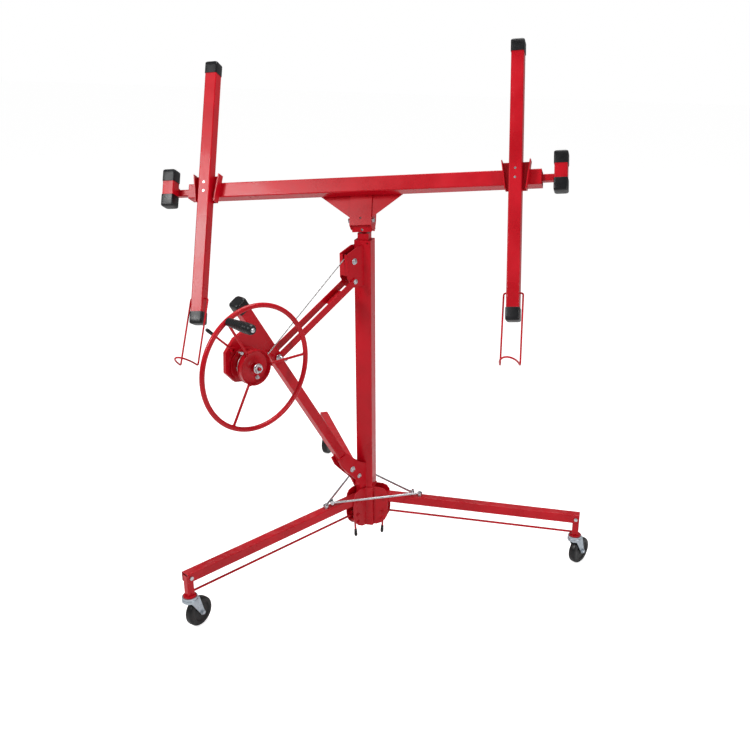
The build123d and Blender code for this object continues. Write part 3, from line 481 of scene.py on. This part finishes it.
def buildHandWheel():
    size = handWheel
    centre = axleFoot + size["across"] * wheelOut
    ring = circle(size["tube"], 20)
    rim = lathe(np.stack([ring[:, 1], size["radius"] + ring[:, 0]], -1), centre, wheelOut, 160,
                loopRows=True)
    shells = [rim]
    for angle in size["spokeAngles"]:
        # a round bar, pressed flatter and wider where it meets the hub
        steps = np.linspace(0, 1, 14)
        near = wheelPoint(angle, size["cup"] - 0.004, -0.004)
        far = wheelPoint(angle, size["radius"] - 0.004)
        path = near + steps[:, None] * (far - near)
        pressed = np.clip(1 - steps / 0.16, 0, 1) ** 2
        squash = np.stack([1 - 0.25 * pressed, 1 + 0.3 * pressed], -1)
        outline = circle(size["spoke"], 18)[None] * squash[:, None, :]
        shells.append(sweep(path, outline, wheelOut))
        # a weld bead that ripples round the spoke's two ends
        for radius in (size["radius"] - size["tube"] + 0.0008, size["cup"] + 0.001):
            turn = np.linspace(0, 2 * pi, 48, endpoint=False)
            away, level, along = squareTo(wheelPoint(angle, 1) - wheelPoint(angle, 0))
            reach = size["spoke"] * 1.04 + 0.0006 * np.sin(9 * turn)
            around = np.cos(turn)[:, None] * away + np.sin(turn)[:, None] * level
            path = wheelPoint(angle, radius) + reach[:, None] * around
            shells.append(sweep(path, circle(size["weld"], 8), along, loopRows=True))
    # a deep dished hub: outside wall, rolled lip, inside wall, floor and the boss round the axle
    back, lip, cup, boss, end = size["floor"], size["lip"], size["cup"], size["boss"], size["bossEnd"]
    dish = [
        (back - 0.0012, size["bore"]), (back - 0.0012, cup - 0.0035), (back, cup - 0.0012),
        (back + 0.002, cup - 0.0004), (lip - 0.0022, cup), (lip - 0.0007, cup + 0.0003),
        (lip, cup - 0.0006), (lip, cup - 0.0018), (lip - 0.0010, cup - 0.0028),
        (back + 0.0055, cup - 0.0045), (back + 0.0028, cup - 0.0062), (back + 0.0018, cup - 0.0092),
        (back + 0.0018, boss + 0.012), (back + 0.0034, boss + 0.0095), (back + 0.0038, boss + 0.004),
        (back + 0.0046, boss + 0.0012), (back + 0.0062, boss),
        (end - 0.0006, boss), (end, boss - 0.0006), (end, size["bore"]),
    ]
    shells.append(lathe(dish, axleFoot, wheelOut, 96, loopRows=True))
    makePiece("handWheelRim", shells, "red_paint", "winch_wheel", ["hand_wheel"])
    # the clamp screw inside the dish, and its washer
    place = wheelPoint(size["screwAngle"], size["screwRadius"], back + 0.0020 - size["across"])
    screw = boltHead(place, wheelOut, size["screwSize"], size["screwHeight"], stub=size["screwStub"])
    makePiece("dishScrew", screw, "zinc_fastener", "winch_wheel")


buildHandWheel()
print("hand wheel built")


drum = dict(radius=0.0363, flange=0.059, back=0.036, front=0.074, bore=0.0052, wind=0.0388, cable=0.0021,
            turns=5)


def buildDrum():
    # the profile runs up the back flange, over the drum, round the dished front flange and down the hub
    b, f, r, big = drum["back"], drum["front"], drum["radius"], drum["flange"]
    profile = [
        (b, drum["bore"]), (b, big - 0.0012), (b + 0.0006, big), (b + 0.0024, big),
        (b + 0.003, big - 0.0012),
        (b + 0.003, r + 0.001), (b + 0.004, r), (f - 0.004, r), (f - 0.003, r + 0.001),
        (f - 0.003, big - 0.0012),
        (f - 0.0024, big), (f - 0.0006, big), (f, big - 0.0012), (f, big - 0.0055),
        (f - 0.0008, big - 0.0075),
        (f - 0.0022, big - 0.0095), (f - 0.0022, 0.030), (f - 0.0016, 0.0275), (f - 0.0011, 0.0245),
        (f - 0.001, 0.022), (f - 0.001, drum["bore"]),
    ]
    makePiece("drumAndFlanges", [lathe(profile, axleFoot, wheelOut, 96, loopRows=True)], "red_paint",
              "winch_wheel", ["cable_drum"])
    # the wound cable: a helix on the drum, with a lobed section that turns as it goes
    steps = np.linspace(0, 1, 90 * drum["turns"])
    turn = -2 * pi * drum["turns"] * steps
    out = drum["back"] + 0.003 + 0.0026 + steps * 0.0268
    radial = np.cos(turn)[:, None] * winchSide + np.sin(turn)[:, None] * straightUp
    path = axleFoot + out[:, None] * wheelOut + drum["wind"] * radial
    lay = np.linspace(0, 2 * pi, 18, endpoint=False)[None] + 24 * pi * drum["turns"] * steps[:, None] / 3
    lobes = drum["cable"] * (0.86 + 0.14 * np.abs(np.cos(3 * lay)))
    spin = np.linspace(0, 2 * pi, 18, endpoint=False)[None]
    outline = np.stack([lobes * np.cos(spin), lobes * np.sin(spin)], -1)
    makePiece("woundCable", [sweep(path, outline, wheelOut)], "steel_cable", "winch_wheel")


buildDrum()
print("cable drum and wound cable built")


frameBolts = dict(
    hingeGrip=0.0438, hingeHalf=0.022, big=0.0092, small=0.0074, tiny=0.0056,
    # (reach, height) in the winch's plane, grip between washers, head size, shank radius and half length
    winch=(((0.095, 0.352), 0.043, 0.0092, 0.005, 0.022), ((0.060, 0.312), 0.043, 0.0074, 0.004, 0.022),
           ((0.428, 0.888), 0.049, 0.0092, 0.005, 0.025), ((0.070, 1.088), 0.049, 0.0074, 0.004, 0.025),
           ((0.070, 1.161), 0.041, 0.0092, 0.005, 0.021)),
    leverHead=0.0434, leverHeight=0.004, leverShank=0.030, leverLength=0.016, leverRadius=0.003,
    clamp=(0.428, 0.888, 0.0305), earReach=0.017, earRise=0.009, earThick=0.0014, earSteps=9,
)


def buildFrameBolts():
    size = frameBolts
    painted, plated = [], []
    half = size["hingeHalf"]
    for name in legNames:
        axis = jointAxis(f"fold_leg_{name}")
        if name == "left" and axis @ wheelOut < 0:  # the left leg's bolt heads face the user
            axis = -axis
        for joint, width, radius in (("fold_leg", size["big"], 0.005),
                                     ("fold_link", size["small"], 0.004),
                                     ("lock_leg", size["tiny"], 0.003)):
            place = jointAt(f"{joint}_{name}")
            painted += throughBolt(place, axis, size["hingeGrip"], width)
            painted.append(rod(place, jointAxis(f"{joint}_{name}"), -half, half, radius))
    for place, grip, width, radius, half in size["winch"]:
        plated += throughBolt(onWinch(*place), wheelOut, grip, width)
        plated.append(rod(onWinch(*place), wheelOut, -half, half, radius))
    lever = jointAt("work_brake")
    head = lever + size["leverHead"] * wheelOut
    plated += boltHead(head, wheelOut, size["tiny"], size["leverHeight"], washer=False)
    plated.append(rod(lever + size["leverShank"] * wheelOut, wheelOut, 0.0, size["leverLength"],
                      size["leverRadius"]))
    # a wing nut on the strut clamp: two ears that rise from a boss
    boss = onWinch(*size["clamp"])
    dome = [(0, pinhole), (0, 0.0085), (0.009, 0.0068), (0.011, 0.0055), (0.011, pinhole)]
    plated.append(lathe(dome, boss, wheelOut, 32))
    for turn in (0.5, 0.5 + pi):
        away = cos(turn) * winchSide + sin(turn) * straightUp
        t = np.linspace(0, 1, size["earSteps"])[:, None]
        rise = 0.006 + size["earRise"] * t**1.4
        path = boss + (0.004 + size["earReach"] * t) * away + rise * wheelOut
        width = np.interp(t[:, 0], [0, 0.75, 1], [0.0035, 0.0062, 0.003])
        spans = np.stack([width, np.full(len(t), size["earThick"])], -1)
        outline = circle(1.0, 16)[None] * spans[:, None, :]
        plated.append(sweep(path, outline, wheelOut))
    makePiece("paintedBolts", painted, "red_paint", "frame", ["frame_bolts"])
    makePiece("platedBolts", plated, "zinc_fastener", "frame")


buildFrameBolts()
print("bolts built")

wheelNut = dict(across=0.100, size=0.015, height=0.009)


def buildWheelNut():
    # a flanged nut on the axle's end, with the hollow of the axle inside it
    start = axleFoot + wheelNut["across"] * wheelOut
    flange = [(0, 0.0055), (0, 0.0160), (0.0004, 0.0166), (0.0014, 0.0166), (0.0018, 0.0160),
              (0.0018, 0.0055)]
    shells = [lathe(flange, start, wheelOut, 48, loopRows=True)]
    across, upright, along = squareTo(wheelOut)
    flat, size, high = 0.866 * wheelNut["size"], wheelNut["size"], wheelNut["height"]
    rows = [(0.0018, hexagon(flat, size)), (0.8 * high, hexagon(flat, size)),
            (high, hexagon(0.95 * flat, 0.88 * size)),
            (high, hexagon(0.0078, 0.0078)), (high - 0.0008, hexagon(0.0068, 0.0062)),
            (0.0018, hexagon(0.0068, 0.0062))]
    shells.append(stack(rows, start, across, upright, along, loopRows=True))
    makePiece("wheelNut", shells, "zinc_fastener", "winch_wheel", ["hub_nut"])


buildWheelNut()
print("wheel nut built")


grip = dict(start=0.012, length=0.118, ribs=9, groove=0.0007, ribsFrom=0.16, ribsTo=0.88, boss=0.0135,
            belly=0.018,
            screwRoot=0.009, screwShank=0.004, bore=0.0045)


def buildGrip():
    # a barrel that swells towards its end, with shallow grooves round its middle
    joint = jointAt("spin_grip")
    root = joint + (handWheel["across"] - (joint - axleFoot) @ wheelOut) * wheelOut
    steps = np.linspace(0, 1, 90)
    boss, start, end = grip["boss"], grip["start"], grip["start"] + grip["length"]
    stations = [0, 0.06, 0.12, 0.7, 0.95, 1.0]
    barrel = np.interp(steps, stations, [boss, boss, 0.0138, grip["belly"], 0.0165, 0.0130])
    ribbed = (steps - grip["ribsFrom"]) / (grip["ribsTo"] - grip["ribsFrom"])
    wave = grip["groove"] * (0.5 - 0.5 * np.cos(2 * pi * grip["ribs"] * ribbed))
    grooves = np.where((ribbed > 0) & (ribbed < 1), wave, 0)
    profile = np.stack([start + grip["length"] * steps, barrel - grooves], -1)
    collar = [(start, grip["bore"]), (start + 0.0002, boss - 0.001)]
    closing = [(end, 0.0090), (end - 0.001, grip["bore"])]
    profile = np.concatenate([collar, profile, closing])
    makePiece("gripBarrel", [lathe(profile, root, wheelOut, 56, loopRows=True)], "black_plastic",
              "wheel_grip", ["wheel_grip"])
    # the screw's shank, its round head and the hollow of the driver's socket
    first, shank = grip["screwRoot"], grip["screwShank"]
    head = [(first, pinhole), (first, shank), (end + 0.0002, shank), (end + 0.0005, 0.0076),
            (end + 0.0015, 0.008),
            (end + 0.0022, 0.0078), (end + 0.0036, 0.0062), (end + 0.0044, 0.0034),
            (end + 0.0030, 0.0026),
            (end + 0.0030, pinhole)]
    makePiece("gripScrew", [lathe(head, root, wheelOut, 40)], "zinc_fastener", "winch_wheel",
              ["grip_screw"])


buildGrip()
print("grip built")


cap = dict(wall=0.002, length=0.040, top=0.004, corner=0.006, innerCorner=0.004, gap=0.0001)


def capShell(centre, up, tubeWidth):
    # a sleeve over the tube's end: inner roof, down the inside, round the lip, up the outside, over the
    # chamfer
    inner, outer = tubeWidth + 2 * cap["gap"], tubeWidth + 2 * cap["wall"]
    c, deep = cap["corner"], cap["length"]
    rows = [
        (0.0, roundSquare(inner, cap["innerCorner"])), (-deep, roundSquare(inner, cap["innerCorner"])),
        (-deep, roundSquare(outer - 0.0010, c)), (-deep + 0.0006, roundSquare(outer, c)),
        (-0.012, roundSquare(outer, c)), (cap["top"] - 0.0055, roundSquare(outer, c)),
        (cap["top"] - 0.0028, roundSquare(outer - 0.0018, c + 0.0008)),
        (cap["top"] - 0.0008, roundSquare(outer - 0.0060, c + 0.0012)),
        (cap["top"], roundSquare(outer - 0.0105, c + 0.0008)),
    ]
    return stack(rows, centre, cradleX, up * cradleY, up * cradleZ)


def buildCaps():
    shells = []
    for name in ("left", "right"):
        low, high = localBox(f"crossarm_{name}", cradleBolt, cradleAxes)
        middle = (low + high) / 2
        for up, z in ((1, high[2]), (-1, low[2])):
            centre = cradleBolt + np.array([middle[0], middle[1], z]) @ cradleAxes
            shells.append(capShell(centre, up, high[0] - low[0]))
        low, high = localBox(f"pad_caps_{name}", cradleBolt, cradleAxes)
        middle = (low + high) / 2
        pads = []
        for up, z in ((1, high[2] - cap["top"]), (-1, low[2] + cap["top"])):
            centre = cradleBolt + np.array([middle[0], middle[1], z]) @ cradleAxes
            pads.append(capShell(centre, up, high[0] - low[0] - 2 * cap["wall"]))
        makePiece(f"padCaps{name.title()}", pads, "black_plastic", f"outrigger_{name}",
                  [f"pad_caps_{name}"])
    makePiece("armCaps", shells, "black_plastic", "cradle", ["arm_caps"])


buildCaps()
print("caps built")


hook = dict(half=0.0325, root=0.016, length=0.250, lip=0.085, wire=0.0032, bend=0.008, swing=10.3,
            tilt=(0.45, 0.75, 0.48))


def buildHooks():
    # two straight wires down from the pivot, joined at the front by half an ellipse
    swing = radians(hook["swing"])
    down = -sin(swing) * cradleY - cos(swing) * cradleZ
    out = -cos(swing) * cradleY + sin(swing) * cradleZ
    for name in ("left", "right"):
        pivot = jointAt(f"swing_hook_{name}")
        turn = np.linspace(0, pi, 25)[1:-1, None]
        lip = pivot + hook["half"] * np.cos(turn) * cradleX + hook["length"] * down
        lip = lip + hook["lip"] * np.sin(turn) * out
        ends = [pivot + across * cradleX + drop * down for across, drop in
                ((hook["root"], 0), (hook["half"], 0), (hook["half"], hook["length"]))]
        mirrored = [pivot - across * cradleX + drop * down for across, drop in
                    ((hook["half"], hook["length"]), (hook["half"], 0), (hook["root"], 0))]
        first = softPath([ends[0], ends[1], ends[2], lip[1]], hook["bend"])
        last = softPath([lip[-2], mirrored[0], mirrored[1], mirrored[2]], hook["bend"])
        path = np.concatenate([first[:-1], lip[2:-2], last[1:]])
        hint = unit(np.array(hook["tilt"]) @ np.array([cradleX, down, out]))
        makePiece(f"supportHook{name.title()}", [sweep(path, circle(hook["wire"], 14), hint)],
                  "red_paint", f"hook_{name}", [f"hook_{name}"])


buildHooks()
print("support hooks built")


caster = dict(radius=0.052, half=0.015, bore=0.0041)


def buildCasters():
    # tyre, side wall, dished web and hub in one profile, turned round the axle and closed through the
    # bore
    r, h, bore = caster["radius"], caster["half"], caster["bore"]
    side = [(h - 0.0006, bore), (h, bore + 0.0010), (h, 0.0115), (h - 0.0008, 0.0130),
            (h - 0.0032, 0.0145), (h - 0.0042, 0.018),
            (h - 0.0042, 0.0300), (h - 0.0034, 0.0325), (h - 0.0008, 0.0342), (h - 0.0002, 0.0360),
            (h - 0.0004, 0.0385)]
    shoulder = np.linspace(0, pi / 2, 9)[1:]
    tread = [(h - 0.0075 + 0.0072 * cos(t), r - 0.0115 + 0.0112 * sin(t)) for t in shoulder]
    profile = side + tread + [(0.003, r)] + [(-0.003, r)] + [(-x, y) for x, y in reversed(side + tread)]
    for name in legNames:
        axis, at = jointAxis(f"roll_{name}"), jointAt(f"roll_{name}")
        makePiece(f"casterTyre{name.title()}", [lathe(profile, at, axis, 96, loopRows=True)],
                  "black_tyre", f"caster_{name}", [f"caster_wheel_{name}"])
        # swivel race under the post and the axle's nuts
        top = jointAt(f"swivel_{name}")
        race = [(-0.0250, 0.0258), (-0.0250, 0.0268), (-0.0238, 0.0276), (-0.0150, 0.0276),
                (-0.0136, 0.0266), (-0.0136, 0.0258)]
        shells = [lathe(race, top, straightUp, 56, loopRows=True)]
        for turn in (-1, 1):
            shells += boltHead(at + turn * (h + 0.0047) * axis, turn * axis, 0.0075, 0.0052)
        makePiece(f"casterRace{name.title()}", shells, "zinc_plate", f"fork_{name}")


buildCasters()
print("casters built")


hub = dict(sleeve=0.069, wall=0.0033, corner=0.007, innerCorner=0.004, low=0.084, high=0.250, plate=0.004,
           across=0.0199,
           outline=((0.020, 0.250), (0.060, 0.249), (0.078, 0.243), (0.088, 0.229), (0.092, 0.205),
                    (0.092, 0.150),
                    (0.089, 0.128), (0.080, 0.110), (0.066, 0.096), (0.046, 0.086), (0.020, 0.084)))


def plateShell(outline, origin, across, upright, along, thickness, edge=0.0006):
    # the outline carried through the plate's thickness, drawn in a little at both faces
    outline = np.asarray(outline, float)
    middle = outline.mean(0)
    away = outline - middle
    drawn = middle + away * (1 - edge / np.linalg.norm(away, axis=1, keepdims=True))
    half = thickness / 2
    rows = [(-half, drawn), (-half + edge, outline), (half - edge, outline), (half, drawn)]
    return stack(rows, origin, across, upright, along)


def buildHub():
    size, up = hub, straightUp
    wide, corner, low, high = size["sleeve"], size["corner"], size["low"], size["high"]
    inner = roundSquare(wide - 2 * size["wall"], size["innerCorner"])
    grid = [(low, roundSquare(wide - 0.0012, corner)), (low + 0.0006, roundSquare(wide, corner)),
            (high - 0.0006, roundSquare(wide, corner)), (high, roundSquare(wide - 0.0012, corner)),
            (high, inner), (low, inner)]
    shells = [stack(grid, mastFoot, *np.eye(3), loopRows=True)]
    for name in legNames:
        out = unit((jointAt(f"fold_leg_{name}") - mastFoot) * levelOnly)
        axis = np.cross(out, up)
        for turn in (-1, 1):
            shells.append(plateShell(size["outline"], mastFoot + turn * size["across"] * axis, out, up,
                                     axis, size["plate"]))
    makePiece("hubClevises", shells, "red_paint", "frame", ["hub"])


buildHub()
print("hub built")


lever = dict(lowBand=0.004, boss=0.010, half=0.0044, bar=0.0038, tip=0.0062, tipLength=0.030, bore=0.0031,
             lockBoss=((-0.008, 0.0031), (-0.008, 0.0062), (-0.007, 0.007), (0.007, 0.007),
                       (0.008, 0.0062),
                       (0.008, 0.0031)))


def nodeEnds(name, origin, direction):
    # how far a node reaches from a point along a direction
    along = (nodePoints(name) - origin) @ direction
    return along.min(), along.max()


def leverShells(pivot, axis, direction, reach):
    # a flat round boss, a tapering bar, and a moulded sleeve over its end
    half, boss = lever["half"], lever["boss"]
    rim = [(-half, lever["bore"]), (-half, boss - 0.0008), (-half + 0.0008, boss), (half - 0.0008, boss),
           (half, boss - 0.0008), (half, lever["bore"])]
    steps = np.linspace(0, 1, 24)
    start, end = pivot + 0.6 * boss * direction, pivot + (reach - 0.6 * lever["tipLength"]) * direction
    path = start + steps[:, None] * (end - start)
    width = np.interp(steps, [0, 0.15, 1], [1.5, 1.0, 0.92])
    outline = circle(lever["bar"], 16)[None] * np.stack([width, np.ones(24)], -1)[:, None, :]
    bar = sweep(path, outline, axis)
    t = np.linspace(0, 1, 16)
    sleeve = np.interp(t, [0, 0.04, 0.12, 0.8, 1.0],
                       [0.0042, 0.0050, 0.0053, lever["tip"], lever["tip"] * 0.86])
    end = reach - 0.0035
    profile = np.stack([end - lever["tipLength"] * (1 - t), sleeve], -1)
    cover = np.concatenate([[(profile[0, 0], pinhole)], profile,
                            domeRows(sleeve[-1], 0.0035)[1:] + [end, 0]])
    return [lathe(rim, pivot, axis, 32, loopRows=True), bar], lathe(cover, pivot, direction, 28)


def buildLevers():
    pivot, axis = jointAt("work_brake"), wheelOut
    spots = nodePoints("brake_lever") - pivot
    far = spots[np.argmax(np.linalg.norm(spots, axis=1))]
    direction = unit(far - (far @ axis) * axis)
    level = (spots @ axis).min() + lever["half"]
    pivot = pivot + level * axis
    reach = nodeEnds("brake_lever", pivot, direction)[1]
    metal, cover = leverShells(pivot, axis, direction, reach)
    makePiece("brakeLeverBar", metal, "red_paint", "brake_lever", ["brake_lever"])
    makePiece("brakeLeverTip", [cover], "black_plastic", "brake_lever")
    for name in legNames:
        pivot, axis = jointAt(f"lock_leg_{name}"), jointAxis(f"lock_leg_{name}")
        spots = nodePoints(f"lock_lever_{name}") - pivot
        low = spots[spots[:, 2] < spots[:, 2].min() + lever["lowBand"]].mean(0)
        direction = unit(low)
        reach = nodeEnds(f"lock_lever_{name}", pivot, direction)[1]
        metal, cover = leverShells(pivot, axis, direction, reach)
        metal[0] = lathe(lever["lockBoss"], pivot, axis, 32, loopRows=True)
        makePiece(f"lockLeverBar{name.title()}", metal, "red_paint", f"lock_{name}",
                  [f"lock_lever_{name}"])
        makePiece(f"lockLeverTip{name.title()}", [cover], "black_plastic", f"lock_{name}")


buildLevers()
print("levers built")

postCap = dict(top=(0.565, 1.100), foot=(0.095, 0.352), tube=0.041, wall=0.0035, sleeve=0.030,
               crown=0.011)


def buildPostCap():
    # a moulded sleeve whose crown swells a little and is rounded all round
    top, foot = onWinch(*postCap["top"]), onWinch(*postCap["foot"])
    along = unit(top - foot)
    across = wheelOut
    upright = np.cross(along, across)
    inner, outer = postCap["tube"] + 0.0002, postCap["tube"] + 2 * postCap["wall"]
    deep, crown = postCap["sleeve"], postCap["crown"]
    rows = [(-0.004, roundSquare(inner, 0.005)), (-deep, roundSquare(inner, 0.005)),
            (-deep, roundSquare(outer - 0.0024, 0.008)),
            (-deep + 0.0009, roundSquare(outer - 0.0012, 0.009)),
            (-0.5 * deep, roundSquare(outer, 0.010)),
            (crown - 0.009, roundSquare(outer + 0.0006, 0.0115)),
            (crown - 0.005, roundSquare(outer - 0.0006, 0.012)),
            (crown - 0.0022, roundSquare(outer - 0.0040, 0.012)),
            (crown - 0.0006, roundSquare(outer - 0.0095, 0.011)),
            (crown, roundSquare(outer - 0.0165, 0.009))]
    makePiece("postCapCover", [stack(rows, top, across, upright, along)], "black_plastic", "frame",
              ["post_cap"])


buildPostCap()
print("post cap built")


cable = dict(radius=0.0022, leaveAcross=0.0457, sheaveAt=(0.070, 1.161), sheaveRadius=0.024, inside=0.034,
             lay=0.022)


def buildLiftCable():
    # a straight run that is tangent to drum and sheave, a quarter turn over the sheave, and a level end
    # in the mast
    wheelPlace = np.array([(axleFoot - mastFoot) @ winchSide, axleFoot[2]])
    sheavePlace = np.array(cable["sheaveAt"])
    wind, turnRadius = drum["radius"] + cable["radius"] + 0.0003, cable["sheaveRadius"] + cable["radius"]
    span = sheavePlace - wheelPlace
    lean = atan2(span[1], span[0]) - asin((wind + turnRadius) / np.linalg.norm(span))
    out = np.array([sin(lean), -cos(lean)])
    leave, meet = wheelPlace - out * wind, sheavePlace + out * turnRadius
    steps = np.linspace(0, 1, 320)
    straight = leave + steps[:, None] * (meet - leave)
    across = cable["leaveAcross"] * (1 - steps)
    first = atan2(out[1], out[0])
    turn = first + (pi / 2 - first) * np.linspace(0, 1, 26)[1:]
    arc = sheavePlace + turnRadius * np.stack([np.cos(turn), np.sin(turn)], -1)
    level = np.stack([np.linspace(sheavePlace[0], cable["inside"], 20)[1:],
                      np.full(19, sheavePlace[1] + turnRadius)], -1)
    flat = np.concatenate([straight, arc, level])
    across = np.concatenate([across, np.zeros(len(flat) - len(across))])
    path = mastFoot + flat[:, :1] * winchSide + flat[:, 1:] * straightUp + across[:, None] * wheelOut
    run = np.concatenate([[0], np.cumsum(np.linalg.norm(np.diff(path, axis=0), axis=1))])
    spin = np.linspace(0, 2 * pi, 24, endpoint=False)[None]
    twist = 2 * pi * run[:, None] / (6 * cable["lay"])
    lobes = cable["radius"] * (0.84 + 0.16 * np.abs(np.cos(3 * (spin + twist))))
    outline = np.stack([lobes * np.cos(spin), lobes * np.sin(spin)], -1)
    makePiece("liftCable", [sweep(path, outline, wheelOut)], "steel_cable", "frame", ["lift_cable"])


buildLiftCable()
print("lift cable built")


studio = dict(floorHalf=30.0, floorColour=(0.90, 0.90, 0.90, 1), skyColour=(1, 1, 1, 1), skyStrength=0.30,
              floorGlow=0.72)


def buildFloor():
    mesh = bpy.data.meshes.new("floor")
    half = studio["floorHalf"]
    mesh.from_pydata([(-half, -half, 0), (half, -half, 0), (half, half, 0), (-half, half, 0)], [],
                     [(0, 1, 2, 3)])
    floor = bpy.data.objects.new("floor", mesh)
    bpy.context.scene.collection.objects.link(floor)
    material = bpy.data.materials.new("paleFloor")
    material.use_nodes = True
    shader = material.node_tree.nodes["Principled BSDF"]
    shader.inputs["Base Color"].default_value = studio["floorColour"]
    shader.inputs["Roughness"].default_value = 0.8
    shader.inputs["Emission Color"].default_value = studio["skyColour"]
    seen = addNode(material.node_tree, "LightPath").outputs["Is Camera Ray"]
    glow = rangeNode(material.node_tree, seen, 0.0, 1.0, 0.0, studio["floorGlow"])
    material.node_tree.links.new(glow, shader.inputs["Emission Strength"])
    mesh.materials.append(material)
    world = bpy.data.worlds.new("studio")
    world.use_nodes = True
    # the backdrop is white to look at, and lights the object more softly
    tree = world.node_tree
    seen = addNode(tree, "LightPath").outputs["Is Camera Ray"]
    strength = rangeNode(tree, seen, 0.0, 1.0, studio["skyStrength"], 1.0)
    tree.links.new(strength, tree.nodes["Background"].inputs["Strength"])
    tree.nodes["Background"].inputs["Color"].default_value = studio["skyColour"]
    bpy.context.scene.world = world


def softBox(name, place, target, size, power):
    light = bpy.data.lights.new(name, "AREA")
    light.shape = "RECTANGLE"
    light.size, light.size_y, light.energy = size[0], size[1], power
    holder = bpy.data.objects.new(name, light)
    holder.location = place
    holder.rotation_euler = (Vector(target) - Vector(place)).to_track_quat("-Z", "Y").to_euler()
    bpy.context.scene.collection.objects.link(holder)


buildFloor()
bpy.context.scene.view_settings.view_transform = "Standard"
softBox("keyLight", (-2.6, -3.2, 3.6), (0, 0, 0.8), (1.4, 1.4), 110)
softBox("fillLight", (3.4, -2.2, 2.2), (0, 0, 0.9), (0.6, 2.2), 45)
softBox("topLight", (0.2, 0.6, 4.2), (0, 0, 0.6), (2.0, 2.0), 75)

view = dict(fromMast=(0.920, -3.172, 1.917), yaw=11.122, pitch=-20.324, roll=1.256, lens=44.316,
            shiftX=-0.0897, shiftY=0.0052)


def buildCamera():
    yaw, pitch, lean = (radians(view[key]) for key in ("yaw", "pitch", "roll"))
    ahead = np.array([-sin(yaw) * cos(pitch), cos(yaw) * cos(pitch), sin(pitch)])
    right = unit(np.cross(ahead, (0, 0, 1.0)))
    upward = np.cross(right, ahead)
    right, upward = cos(lean) * right + sin(lean) * upward, cos(lean) * upward - sin(lean) * right
    data = bpy.data.cameras.new("camera")
    data.lens, data.sensor_width = view["lens"], 36.0
    data.shift_x, data.shift_y = view["shiftX"], view["shiftY"]
    holder = bpy.data.objects.new("camera", data)
    turned = Matrix(np.stack([right, upward, -ahead], 1).tolist()).to_4x4()
    holder.matrix_world = Matrix.Translation(Vector(mastFoot + view["fromMast"])) @ turned
    bpy.context.scene.collection.objects.link(holder)
    bpy.context.scene.camera = holder


buildCamera()
print("floor, lights and camera placed")
